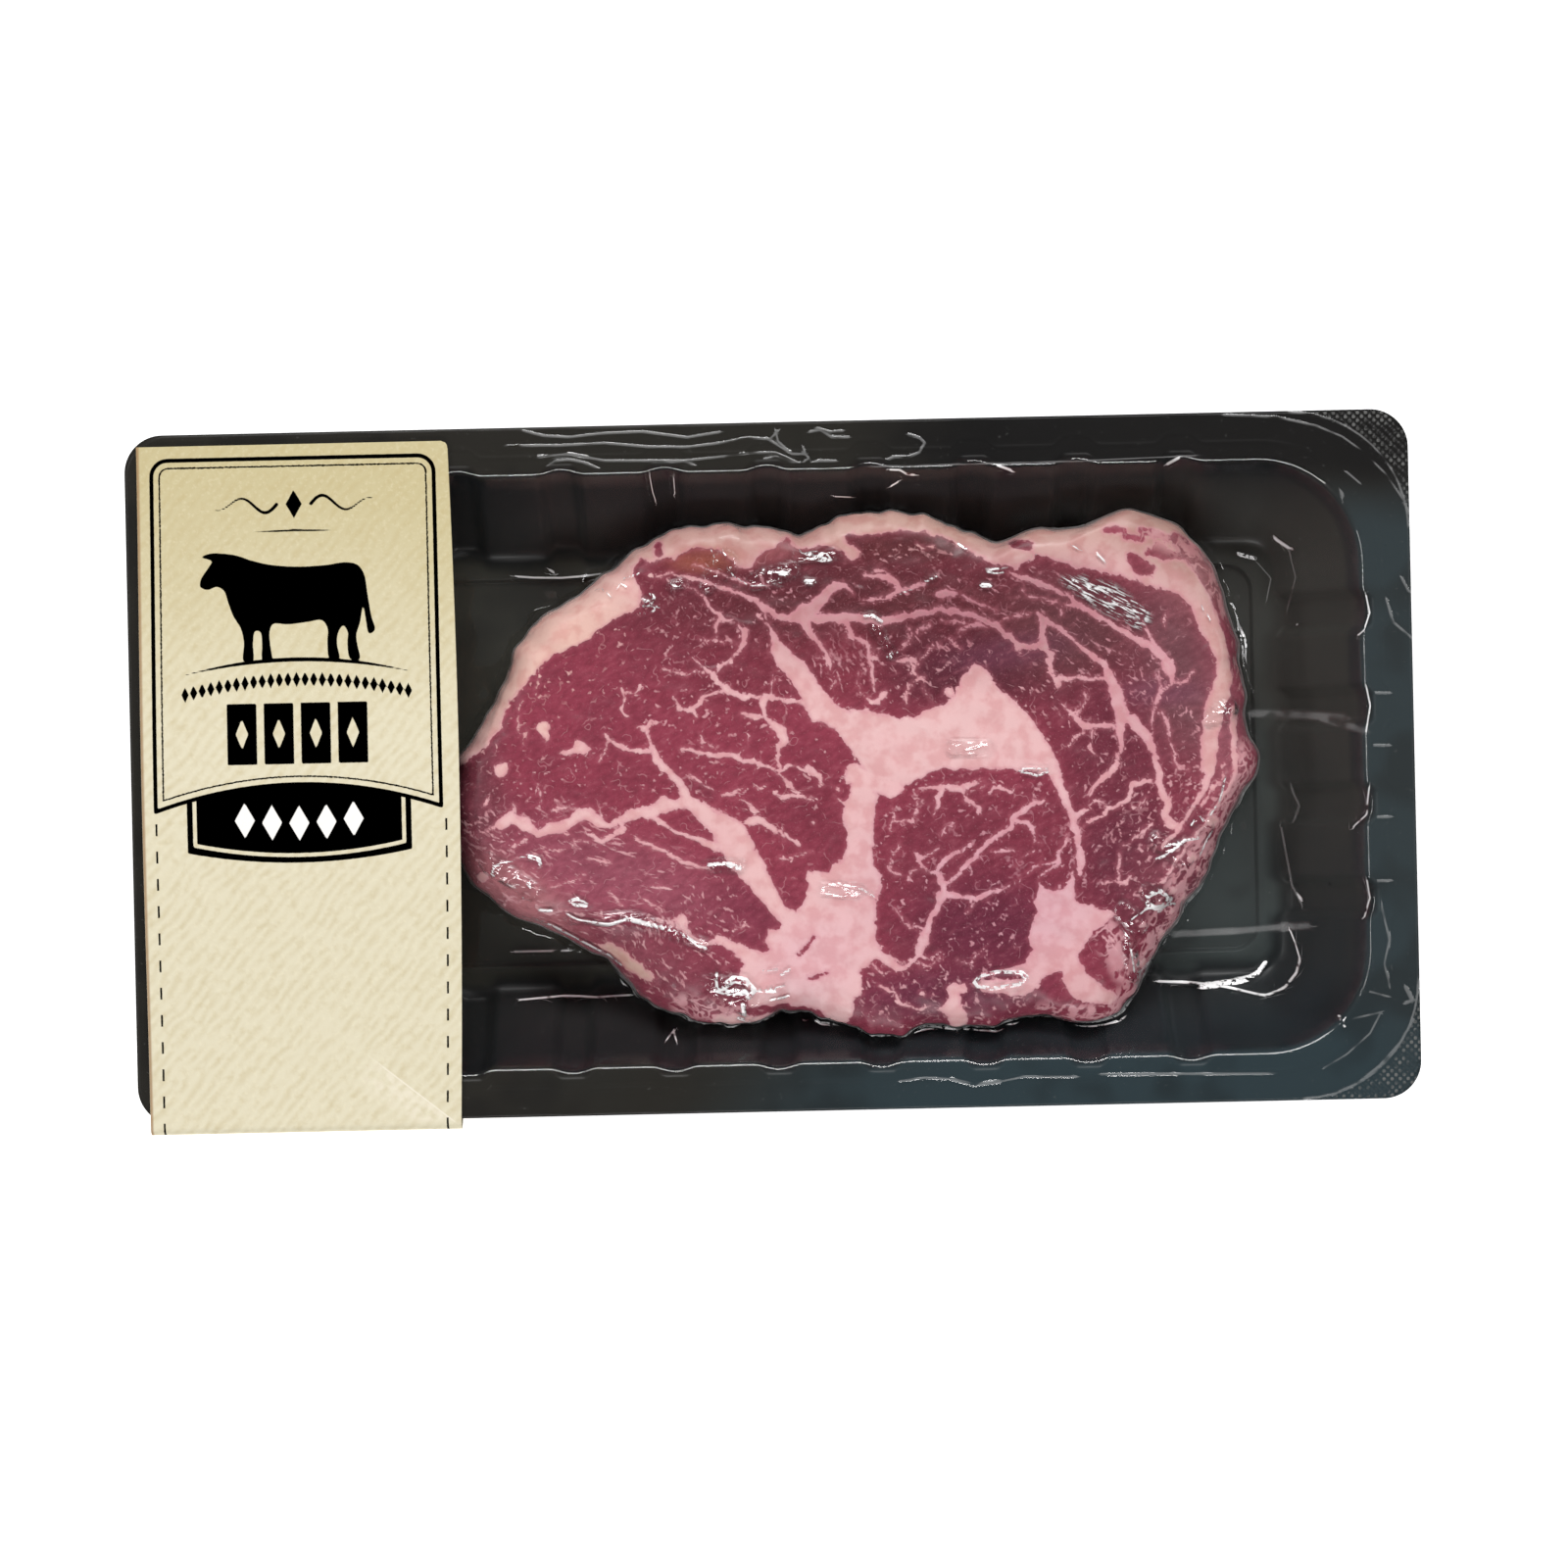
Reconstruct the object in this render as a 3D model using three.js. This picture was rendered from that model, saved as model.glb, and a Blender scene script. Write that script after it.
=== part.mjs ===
// A raw ribeye steak in a vacuum skin pack: a black ribbed tray, the steak lying in its well, a clear
// skin film drawn down over both, and a card band stuck across one end and folded under the tray.
// Millimetres, +Z up. The origin is the middle of the flat pad that the tray stands on, +X runs along
// the tray away from the band, and -Y is the side that the band folds over.

import * as THREE from 'three';

// Tray: a flange round a well whose wall is ribbed by upright grooves.
const trayHalf = { x: 135, y: 72.5 };
const trayCornerRadius = 8;
const flangeWidth = 10;
const trayHeight = 21;
const trayWall = 0.8;
const wellCornerRadius = 22;
const wallRun = 15.75;
const ledgeTop = 2;
const padTop = trayWall;
const padHalf = { x: 104.5, y: 42 };
const padCornerRadius = 6;
const padStepRun = 1;
const grooveDepth = 2;
const grooveFloor = 4.3;
const grooveRamp = 3;
const longSide = { grooves: 9, pitch: 21.7 };
const shortSide = { grooves: 4, pitch: 20.3 };
const cornerSteps = 6;

// Steak: how thick it is, how its side swells and tucks under, and the swells of its cut face, each with
// its height and its lengths along X and Y.
const steakTop = 21.5;
const steakGap = 0.35;
const steakWidestShare = 0.3;
const sideRoundness = 2.2;
const steakTuck = 1.8;
const bellyIn = 0.3;
const bellyUp = 0.45;
const underRamp = 6;
const leastFloor = 0.5;
const broadSwell = { height: 0.5, x: 107, y: 88, start: 0.6 };
const slantSwell = { height: 0.35, x: 145, y: 57 };
// Where the rings over the top lie, as shares of the way out to the edge's fall, and where those over the
// edge lie, as shares of the fall's run in from the outline.
const topShares = [0.35, 0.7];
const sideShares = [1, 0.55, 0.25, 0.07, 0];
const steakCentre = new THREE.Vector2(16, -2);
const steakOutline = [
  [101, 14], [101, 7], [103.6, 0], [101.8, -5.6], [97, -13], [92.5, -24], [85.3, -34.7], [79.5, -43.5],
  [75, -51], [66, -55.5], [56, -53.7], [42.4, -55.8], [31, -55.2], [24.4, -57.3], [9.6, -53.3], [2.5, -51.5],
  [-5, -53.8], [-13.7, -54], [-28.8, -48.5], [-35, -41.5], [-48.7, -33.7], [-58.1, -29.3], [-66.5, -20.5],
  [-69.8, -9], [-68, 1], [-59.6, 14.6], [-51.6, 30.5], [-40.9, 37.7], [-23.4, 49.5], [-13.4, 51.7],
  [-1.7, 51.1], [8.2, 49.6], [15, 52.7], [31, 53.2], [44.6, 48.4], [50.2, 47.1], [57, 49.6], [65.3, 49.4],
  [77.7, 52.9], [91.6, 45.5], [97.8, 32],
].map(([x, y]) => new THREE.Vector2(x, y));
const outlineSteps = 900;
// How far in from the outline the top starts to fall, by compass direction seen from the centre.
const edgeRuns = [
  { degrees: 0, run: 7 }, { degrees: 60, run: 7 }, { degrees: 110, run: 5.5 }, { degrees: 165, run: 8 },
  { degrees: 215, run: 15 }, { degrees: 260, run: 9 }, { degrees: 290, run: 8 }, { degrees: 325, run: 15 },
  { degrees: 360, run: 7 },
];

// Film: how clear it stays of what it covers, how far out and up it tents round the steak's foot, and how
// far on it lies back on the wall.
const filmGap = 0.5;
const filmThickness = 0.3;
const filmTent = 1.6;
const filmLift = 2;
const filmMargin = 0.8;
const wallSteps = 100;

// Band: a strip of card with a plain end on the flange and its other end tucked under the tray.
const bandEdges = { left: -132.3, right: -67 };
const bandBow = 1.3;
const bandRise = 1.2;
const bandThickness = 0.4;
const bandPlainEnd = 70;
const bandFold = -74.3;
const bandFoldRadius = 1.2;
const bandFoldShares = [0.35, 0.7, 1];
const bandTuck = { y: -48.6, z: 0.45, end: -43.2 };
const bandAcross = 8;
const bandAlong = 14;

const smooth = (t) => t * t * (3 - 2 * t);
const lift = (flat, z) => new THREE.Vector3(flat.x, flat.y, z);
const fullTurn = 2 * Math.PI;
const wholeTurn = (angle) => (angle + fullTurn) % fullTurn;

function meshOf(points, faces) {
  const places = points.flatMap((p) => [p.x, p.y, p.z]);
  const geometry = new THREE.BufferGeometry();
  geometry.setAttribute('position', new THREE.Float32BufferAttribute(places, 3));
  geometry.setIndex(faces.flat());
  geometry.computeVertexNormals();
  return geometry;
}

// Turns rings of points, from one pole to the other, into a closed mesh.
function skinRings(firstPole, rings, lastPole) {
  const count = rings[0].length;
  const points = [firstPole, ...rings.flat(), lastPole];
  const last = points.length - 1;
  const at = (ring, i) => 1 + ring * count + (i % count);
  const faces = [];
  for (let i = 0; i < count; i++) {
    faces.push([0, at(0, i), at(0, i + 1)]);
    for (let ring = 0; ring + 1 < rings.length; ring++) {
      const [a, b] = [at(ring, i), at(ring, i + 1)];
      const [c, d] = [at(ring + 1, i), at(ring + 1, i + 1)];
      faces.push([a, c, b], [b, c, d]);
    }
    faces.push([last, at(rings.length - 1, i + 1), at(rings.length - 1, i)]);
  }
  return meshOf(points, faces);
}

// Places along a straight side where the groove outline turns, each with its share of the depth.
function groovePlaces({ grooves, pitch }) {
  const places = [];
  const foot = grooveFloor / 2 + grooveRamp;
  for (let k = 0; k < grooves; k++) {
    const middle = (k - (grooves - 1) / 2) * pitch;
    places.push([middle - foot, 0], [middle - grooveFloor / 2, 1]);
    places.push([middle + grooveFloor / 2, 1], [middle + foot, 0]);
  }
  return places;
}

// A rounded rectangle as points, anticlockwise from the lower end of the +X side. Every one has the
// same count of points, so that rings of different sizes can be joined into walls.
function roundedRing(half, radius, depth) {
  const ring = [];
  const sides = [
    { out: [1, 0], along: [0, 1], places: groovePlaces(shortSide) },
    { out: [0, 1], along: [-1, 0], places: groovePlaces(longSide) },
    { out: [-1, 0], along: [0, -1], places: groovePlaces(shortSide) },
    { out: [0, -1], along: [1, 0], places: groovePlaces(longSide) },
  ];
  for (const { out, along, places } of sides) {
    const reach = Math.abs(out[0]) * half.x + Math.abs(out[1]) * half.y;
    for (const [place, share] of places) {
      const r = reach + share * depth;
      ring.push(new THREE.Vector2(out[0] * r + along[0] * place, out[1] * r + along[1] * place));
    }
    const middleX = (out[0] + along[0]) * (half.x - radius);
    const middleY = (out[1] + along[1]) * (half.y - radius);
    const start = Math.atan2(out[1], out[0]);
    for (let k = 0; k <= cornerSteps; k++) {
      const angle = start + (k / cornerSteps) * (Math.PI / 2);
      ring.push(new THREE.Vector2(middleX + radius * Math.cos(angle), middleY + radius * Math.sin(angle)));
    }
  }
  return ring;
}

const shrink = (half, inset) => ({ x: half.x - inset, y: half.y - inset });
const well = shrink(trayHalf, flangeWidth);
const padFloor = shrink(padHalf, padStepRun);
const padFloorRadius = padCornerRadius - padStepRun;
const wallSlope = Math.atan2(trayHeight - ledgeTop, wallRun);
const padSlope = Math.atan2(ledgeTop - padTop, padStepRun);

// The tray's inner surface moved along its normals: up for a positive distance, down for a negative one.
function trayRings(distance) {
  const padInset = distance * Math.tan(padSlope / 2);
  const wallInset = distance * Math.tan(wallSlope / 2);
  const footInset = wallRun + wallInset;
  const raise = (ring, z) => ring.map((p) => lift(p, z + distance));
  return {
    padInner: raise(roundedRing(shrink(padFloor, padInset), padFloorRadius, 0), padTop),
    padOuter: raise(roundedRing(shrink(padHalf, padInset), padCornerRadius, 0), ledgeTop),
    foot: raise(roundedRing(shrink(well, footInset), wellCornerRadius - footInset, grooveDepth), ledgeTop),
    rim: raise(roundedRing(shrink(well, wallInset), wellCornerRadius - wallInset, grooveDepth), trayHeight),
    outer: raise(roundedRing(trayHalf, trayCornerRadius, 0), trayHeight),
  };
}

function trayGeometry() {
  const inside = trayRings(0);
  const outside = trayRings(-trayWall);
  const order = ['padInner', 'padOuter', 'foot', 'rim', 'outer'];
  const down = order.map((name) => inside[name]);
  const back = order.toReversed().map((name) => outside[name]);
  return skinRings(new THREE.Vector3(0, 0, padTop), [...down, ...back], new THREE.Vector3(0, 0, 0));
}

// Signed distance to a rounded rectangle, negative inside.
function distanceToRing(x, y, half, radius) {
  const dx = Math.abs(x) - half.x + radius;
  const dy = Math.abs(y) - half.y + radius;
  return Math.hypot(Math.max(dx, 0), Math.max(dy, 0)) + Math.min(Math.max(dx, dy), 0) - radius;
}

// Height of the tray's inner surface between its grooves, moved up along its normals.
function trayFloor(x, y, distance) {
  const step = THREE.MathUtils.clamp(1 + distanceToRing(x, y, padHalf, padCornerRadius) / padStepRun, 0, 1);
  const floor = padTop + (ledgeTop - padTop) * step + distance;
  const fromWell = distanceToRing(x, y, well, wellCornerRadius);
  const wall = trayHeight + fromWell * Math.tan(wallSlope) + distance / Math.cos(wallSlope);
  return Math.max(floor, Math.min(wall, trayHeight + distance));
}

// Closed curve through the outline's points, read by direction from the steak's centre.
const outlineCurve = new THREE.CatmullRomCurve3(steakOutline.map((p) => lift(p, 0)), true, 'centripetal');
const outlineSamples = outlineCurve.getPoints(outlineSteps).map((p) => {
  const arm = new THREE.Vector2(p.x, p.y).sub(steakCentre);
  return { angle: arm.angle(), radius: arm.length() };
}).sort((a, b) => a.angle - b.angle);

function outlineRadius(angle) {
  const turn = wholeTurn(angle);
  const after = Math.max(outlineSamples.findIndex((s) => s.angle >= turn), 0);
  const b = outlineSamples[after];
  const a = outlineSamples.at(after - 1);
  const span = wholeTurn(b.angle - a.angle);
  const t = span > 0 ? wholeTurn(turn - a.angle) / span : 0;
  return THREE.MathUtils.lerp(a.radius, b.radius, Math.min(t, 1));
}

function edgeRun(angle) {
  const degrees = THREE.MathUtils.radToDeg(wholeTurn(angle));
  const k = edgeRuns.findIndex((e) => e.degrees > degrees);
  const [a, b] = [edgeRuns[k - 1], edgeRuns[k]];
  return THREE.MathUtils.lerp(a.run, b.run, smooth((degrees - a.degrees) / (b.degrees - a.degrees)));
}

// Height of the cut face with its gentle swells.
function cutFace({ x, y }) {
  const [wave, slant] = [broadSwell, slantSwell];
  const broad = Math.sin((fullTurn * x) / wave.x + wave.start) * Math.cos((fullTurn * y) / wave.y);
  return steakTop + wave.height * broad + slant.height * Math.sin(fullTurn * (y / slant.y - x / slant.x));
}

// Height of the steak's underside: it rests on the pad, rises over the pad's edge and lies up the wall.
function underside({ x, y }) {
  const fromPad = distanceToRing(x, y, padFloor, padFloorRadius);
  const rise = THREE.MathUtils.clamp(1 + fromPad / underRamp, 0, 1);
  return Math.max(padTop + steakGap + rise * (ledgeTop - padTop), trayFloor(x, y, steakGap));
}

// The place at a distance from the steak's centre in one direction.
function fromCentre(angle, r) {
  return new THREE.Vector2(Math.cos(angle), Math.sin(angle)).multiplyScalar(r).add(steakCentre);
}

// Where a direction crosses the edge of the sunk pad, found by halving.
function padRadius(angle) {
  let [near, far] = [0, trayHalf.x];
  while (far - near > 1e-6) {
    const r = (near + far) / 2;
    const { x, y } = fromCentre(angle, r);
    if (distanceToRing(x, y, padFloor, padFloorRadius) < 0) near = r;
    else far = r;
  }
  return near;
}

// One direction's section of the steak, from the middle of the top, out over the edge and back underneath.
function steakSection(angle) {
  const radius = outlineRadius(angle);
  const run = edgeRun(angle);
  const under = underside(fromCentre(angle, radius));
  const crown = cutFace(fromCentre(angle, radius - run));
  const widest = under + steakWidestShare * (crown - under);
  const section = topShares.map((share) => {
    const spot = fromCentre(angle, share * (radius - run));
    return lift(spot, cutFace(spot));
  });
  for (const inward of sideShares) {
    const rise = (1 - (1 - inward) ** sideRoundness) ** (1 / sideRoundness);
    section.push(lift(fromCentre(angle, radius - inward * run), widest + (crown - widest) * rise));
  }
  const tucked = radius - steakTuck;
  const low = underside(fromCentre(angle, tucked));
  section.push(lift(fromCentre(angle, radius - bellyIn * steakTuck), low + bellyUp * (widest - low)));
  const turn = Math.min(tucked - leastFloor, padRadius(angle));
  for (const r of [tucked, turn, turn - underRamp]) {
    const spot = fromCentre(angle, r);
    section.push(lift(spot, underside(spot)));
  }
  return section;
}

function steakGeometry(angles) {
  const sections = angles.map(steakSection);
  const rings = sections[0].map((_, k) => sections.map((section) => section[k]));
  return skinRings(lift(steakCentre, cutFace(steakCentre)), rings, lift(steakCentre, padTop + steakGap));
}

// For a point of the wall's foot and the rim's point above it, how far up between the two the film first
// lies clear of the steak.
function wallStart(foot, rim) {
  for (let step = 0; step < wallSteps; step++) {
    const p = foot.clone().lerp(rim, step / wallSteps);
    const arm = new THREE.Vector2(p.x, p.y).sub(steakCentre);
    if (arm.length() >= outlineRadius(arm.angle()) + filmTent + filmMargin) return step / wallSteps;
  }
  return 1;
}

// The directions that the steak and the film share: those of the points where the film meets the wall,
// evened out over the points of one groove.
function sharedAngles(foot, rim, starts) {
  const weights = [0.125, 0.25, 0.25, 0.25, 0.125];
  const arms = foot.map((p, i) => {
    const q = p.clone().lerp(rim[i], starts[i]);
    return new THREE.Vector2(q.x, q.y).sub(steakCentre);
  });
  return arms.map((arm, i) => {
    const turns = weights.map((weight, k) => {
      const other = arms.at((i + k - 2) % arms.length);
      return weight * Math.atan2(arm.cross(other), arm.dot(other));
    });
    return arm.angle() + turns.reduce((a, b) => a + b);
  });
}

// The film's rings at a distance from what it covers: over the steak along its normals, down to the tray
// a little way out from its edge, and then up the wall and out over the flange.
function filmRings(steak, starts, angles, distance) {
  const { position, normal } = steak.attributes;
  const onSteak = [...topShares, ...sideShares].map((_, ring) => angles.map((_, i) => {
    const vertex = 1 + ring * angles.length + i;
    const outward = new THREE.Vector3().fromBufferAttribute(normal, vertex);
    return new THREE.Vector3().fromBufferAttribute(position, vertex).addScaledVector(outward, distance);
  }));
  const touch = angles.map((angle) => {
    const spot = fromCentre(angle, outlineRadius(angle) + filmTent);
    const floor = Math.max(trayFloor(spot.x, spot.y, distance), ledgeTop + distance);
    return lift(spot, floor + filmLift);
  });
  const tray = trayRings(distance);
  const wall = tray.foot.map((p, i) => p.clone().lerp(tray.rim[i], starts[i]));
  return [...onSteak, touch, wall, tray.rim, tray.outer];
}

function filmGeometry(steak, starts, angles) {
  const upper = filmRings(steak, starts, angles, filmGap + filmThickness);
  const under = filmRings(steak, starts, angles, filmGap);
  const low = lift(steakCentre, cutFace(steakCentre) + filmGap);
  const high = lift(steakCentre, low.z + filmThickness);
  return skinRings(high, [...upper, ...under.toReversed()], low);
}

// A line of points [y, z] moved to the left of the way it runs.
function offsetLine(points, distance) {
  return points.map(([y, z], k) => {
    const before = points[Math.max(k - 1, 0)];
    const after = points[Math.min(k + 1, points.length - 1)];
    const [dy, dz] = [after[0] - before[0], after[1] - before[1]];
    const length = Math.hypot(dy, dz);
    return [y - (dz / length) * distance, z + (dy / length) * distance];
  });
}

// The band's underside seen from its end, as points [y, z] from the plain end to the tucked one.
function bandPath() {
  const bed = trayHeight + 2 * filmGap + filmThickness;
  const turnY = bandFold + bandFoldRadius;
  const path = [];
  for (let k = 0; k <= bandAlong; k++) {
    const t = k / bandAlong;
    path.push([THREE.MathUtils.lerp(bandPlainEnd, turnY, t), bed + bandRise * Math.sin(Math.PI * t) ** 2]);
  }
  const slope = Math.atan2(bed - bandTuck.z, bandTuck.y - bandFold);
  for (const share of bandFoldShares) {
    const turn = share * (Math.PI - slope);
    path.push([turnY - bandFoldRadius * Math.sin(turn), bed - bandFoldRadius * (1 - Math.cos(turn))]);
  }
  path.push([bandTuck.y, bandTuck.z], [bandTuck.end, bandTuck.z]);
  return path;
}

// The band's edges at a place along it: share 0 is its straight left edge, 1 its bowed right one.
function bandX(share, y) {
  const bow = bandBow * Math.max(Math.cos((y / trayHalf.y) * (Math.PI / 2)), 0);
  return THREE.MathUtils.lerp(bandEdges.left, bandEdges.right + bow, share);
}

function bandGeometry() {
  const under = bandPath();
  const over = offsetLine(under, -bandThickness);
  const loop = [...under, ...over.toReversed()];
  const count = loop.length;
  const points = [];
  const faces = [];
  for (let k = 0; k <= bandAcross; k++) {
    for (const [y, z] of loop) points.push(new THREE.Vector3(bandX(k / bandAcross, y), y, z));
  }
  for (let k = 0; k < bandAcross; k++) {
    for (let i = 0; i < count; i++) {
      const j = (i + 1) % count;
      const [a, b, c, d] = [k * count + i, k * count + j, (k + 1) * count + i, (k + 1) * count + j];
      faces.push([a, c, b], [b, c, d]);
    }
  }
  const far = bandAcross * count;
  for (let i = 0; i + 1 < under.length; i++) {
    const [a, b, c, d] = [i, i + 1, count - 1 - i, count - 2 - i];
    faces.push([a, b, c], [b, d, c], [far + a, far + c, far + b], [far + b, far + c, far + d]);
  }
  return meshOf(points, faces);
}

const materials = {
  tray: new THREE.MeshStandardMaterial({ color: 0x17181a, roughness: 0.3 }),
  steak: new THREE.MeshStandardMaterial({ color: 0x8f3a49, roughness: 0.35 }),
  film: new THREE.MeshStandardMaterial({ color: 0xffffff, roughness: 0.1, transparent: true, opacity: 0.15 }),
  band: new THREE.MeshStandardMaterial({ color: 0xe2d8b4, roughness: 0.8 }),
};

const pack = new THREE.Group();

function addPiece(name, geometry, material) {
  const mesh = new THREE.Mesh(geometry, material);
  mesh.name = name;
  pack.add(mesh);
}

const inner = trayRings(filmGap);
const starts = inner.foot.map((p, i) => wallStart(p, inner.rim[i]));
const angles = sharedAngles(inner.foot, inner.rim, starts);
const steak = steakGeometry(angles);
addPiece('tray', trayGeometry(), materials.tray);
addPiece('steak', steak, materials.steak);
addPiece('skin_film', filmGeometry(steak, starts, angles), materials.film);
addPiece('card_band', bandGeometry(), materials.band);

export default pack;
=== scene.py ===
"""A raw ribeye steak sealed in a skin pack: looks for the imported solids.

Sizes are millimetres until a mesh is made, which is when they become metres. X runs along the tray away
from the card band, Y towards the band's plain end and Z up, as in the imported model.
"""

import logging
import math
from collections.abc import Callable, Iterator, Sequence
from dataclasses import dataclass, field, replace
from enum import Enum
from typing import Any

import bpy
import numpy as np
from numpy.typing import NDArray
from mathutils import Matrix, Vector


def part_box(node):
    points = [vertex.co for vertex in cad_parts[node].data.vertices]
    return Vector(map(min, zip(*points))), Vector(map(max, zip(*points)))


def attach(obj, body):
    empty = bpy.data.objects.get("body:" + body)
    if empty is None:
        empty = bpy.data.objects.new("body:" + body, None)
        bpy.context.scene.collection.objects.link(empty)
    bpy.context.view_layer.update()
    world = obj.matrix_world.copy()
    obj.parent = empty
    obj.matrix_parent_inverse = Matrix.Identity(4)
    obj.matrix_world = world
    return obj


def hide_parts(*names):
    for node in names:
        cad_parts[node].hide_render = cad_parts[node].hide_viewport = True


Array = NDArray[np.float64]
Profile = Callable[[Array, Array], Array]

METRES = 0.001
FULL_TURN = 2.0 * math.pi
QUARTER_TURN = math.pi / 2.0
TINY = 1e-9
FAR_OFF = 99.0
log = logging.getLogger("steak_pack")

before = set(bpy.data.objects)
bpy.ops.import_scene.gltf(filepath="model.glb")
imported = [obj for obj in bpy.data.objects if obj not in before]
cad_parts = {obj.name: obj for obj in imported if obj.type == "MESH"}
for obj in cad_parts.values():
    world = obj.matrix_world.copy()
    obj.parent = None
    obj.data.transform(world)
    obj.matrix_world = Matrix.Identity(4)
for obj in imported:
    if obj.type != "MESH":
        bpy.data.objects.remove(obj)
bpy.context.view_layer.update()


class Slot(Enum):
    """The record's material slots."""

    TRAY = "tray"
    MEAT = "meat"
    FILM = "film"
    CARD = "card"


def shade(red: float, green: float, blue: float) -> tuple[float, float, float, float]:
    """A screen colour as the linear colour that a shader takes.

    Args:
        red: Its red part, from 0 to 255.
        green: Its green part.
        blue: Its blue part.

    Returns:
        The linear parts and a full alpha.
    """
    parts = [part / 255.0 for part in (red, green, blue)]
    linear = [p / 12.92 if p <= 0.04045 else ((p + 0.055) / 1.055) ** 2.4 for p in parts]
    return (linear[0], linear[1], linear[2], 1.0)


# Arithmetic on whole arrays


def ease(share: Array) -> Array:
    """A share from 0 to 1 made to start and end gently: 3 s squared less 2 s cubed."""
    held = np.clip(share, 0.0, 1.0)
    return held * held * (3.0 - 2.0 * held)


def fade(depth: Array, width: float) -> Array:
    """0 well outside an edge, a half on it and 1 well inside it, eased over this width."""
    return ease(depth / width + 0.5)


def soft_min(a: Array, b: Array | float, reach: float) -> Array:
    """The lower of two heights, less a parabola that rounds the corner where they are within reach."""
    share = np.maximum(reach - np.abs(a - b), 0.0) / reach
    return np.minimum(a, b) - share * share * reach / 4.0


def soft_max(a: Array, b: Array | float, reach: float) -> Array:
    """The higher of two heights, with the corner between them filled in the same way."""
    return -soft_min(-a, -np.asarray(b), reach)


def polar(centre: Array, angle: Array, radius: Array) -> Array:
    """Spots at these directions and distances from a centre."""
    return centre + radius[..., None] * np.stack([np.cos(angle), np.sin(angle)], axis=-1)


def on_height(spots: Array, height: Array) -> Array:
    """Flat spots lifted to their heights."""
    return np.concatenate([spots, height[..., None]], axis=-1)


def ripple(spots: Array, wavelength: float, seed: int, waves: int = 14) -> Array:
    """Gentle noise from about -1 to 1: a sum of plane waves in random directions, near one wavelength.

    Args:
        spots: The places, as (..., 2).
        wavelength: About how far apart the crests are.
        seed: The seed that the waves are drawn from.
        waves: How many there are.

    Returns:
        The noise at each spot.
    """
    rng = np.random.default_rng(seed)
    turn = rng.uniform(0.0, FULL_TURN, waves)
    length = wavelength * rng.uniform(0.7, 1.5, waves)
    phase = rng.uniform(0.0, FULL_TURN, waves)
    pull = np.stack([np.cos(turn), np.sin(turn)]) * (FULL_TURN / length)
    return np.sin(spots @ pull + phase).sum(axis=-1) / math.sqrt(waves)


def closed_curve(knots: Array, steps: int) -> Array:
    """A closed centripetal Catmull-Rom curve through the knots.

    Each stretch is a cubic whose end slopes come from the knots on both sides, with every gap's share of
    the way counted as the square root of its length.

    Args:
        knots: The points that the curve passes, in order.
        steps: How many points each stretch gets.

    Returns:
        The curve's points, without the first one again at the end.
    """
    before, start, end, after = (np.roll(knots, shift, axis=0) for shift in (1, 0, -1, -2))
    gaps = [np.sqrt(np.linalg.norm(b - a, axis=1))[:, None]
            for a, b in ((before, start), (start, end), (end, after))]
    first, middle, last = gaps
    leave = (start - before) / first - (end - before) / (first + middle) + (end - start) / middle
    reach = (end - start) / middle - (after - start) / (middle + last) + (after - end) / last
    t = (np.arange(steps) / steps)[:, None, None]
    curve = (start * (2 * t**3 - 3 * t**2 + 1) + leave * middle * (t**3 - 2 * t**2 + t)
             + end * (3 * t**2 - 2 * t**3) + reach * middle * (t**3 - t**2))
    return curve.transpose(1, 0, 2).reshape(-1, 2)


# Drawn lines and areas, and how deep a spot lies in them


def read_line(text: str) -> Array:
    """One line's points as "x,y,width", or a width of its own first and then points as "x,y".

    Args:
        text: The points with blanks between them.

    Returns:
        The points, as (count, 3) with widths or (count, 2) without.
    """
    parts = text.split()
    width = "" if "," in parts[0] else f",{parts.pop(0)}"
    return np.array([[float(value) for value in (part + width).split(",")] for part in parts])


def read_lines(text: str) -> list[Array]:
    """Drawn lines, each ended by a semicolon."""
    return [read_line(line) for line in text.split(";") if line.strip()]


def stretches(spots: Array, lines: Sequence[Array], reach: float) -> Iterator[tuple[Array, ...]]:
    """Every stretch of the lines in turn, with the spots near it.

    The gap is the distance to the stretch, and the width there is taken in proportion between its ends.

    Args:
        spots: The places, as (count, 2).
        lines: The lines' points and widths.
        reach: How far beyond its width a line is felt.

    Yields:
        The near spots' numbers, their gaps, the widths, and the side they lie on as 1 or -1.
    """
    order = np.argsort(spots[:, 0])
    sorted_x = spots[order, 0]
    for line in lines:
        ends = line[1:] if len(line) > 1 else line
        for start, end in zip(line, ends):
            margin = reach + max(start[2], end[2])
            low, high = np.searchsorted(sorted_x, (min(start[0], end[0]) - margin,
                                                   max(start[0], end[0]) + margin))
            near = order[low:high]
            middle, half = (start[1] + end[1]) / 2.0, abs(start[1] - end[1]) / 2.0
            near = near[np.abs(spots[near, 1] - middle) < half + margin]
            way = end[:2] - start[:2]
            arm = spots[near] - start[:2]
            share = np.clip(arm @ way / max(way @ way, TINY), 0.0, 1.0)
            gap = np.linalg.norm(arm - share[:, None] * way, axis=1)
            side = np.where(way[0] * arm[:, 1] < way[1] * arm[:, 0], -1.0, 1.0)
            yield near, gap, start[2] + share * (end[2] - start[2]), side


def line_field(spots: Array, lines: Sequence[Array], profile: Profile, reach: float, least: float) -> Array:
    """The highest value that any drawn line gives at each spot.

    Args:
        spots: The places, as (count, 2).
        lines: The lines' points and widths.
        profile: Turns gaps and widths into values.
        reach: How far beyond its width a line is felt.
        least: The value where no line is near.

    Returns:
        One value for each spot.
    """
    value = np.full(len(spots), least)
    for near, gap, width, _ in stretches(spots, lines, reach):
        value[near] = np.maximum(value[near], profile(gap, width))
    return value


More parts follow.
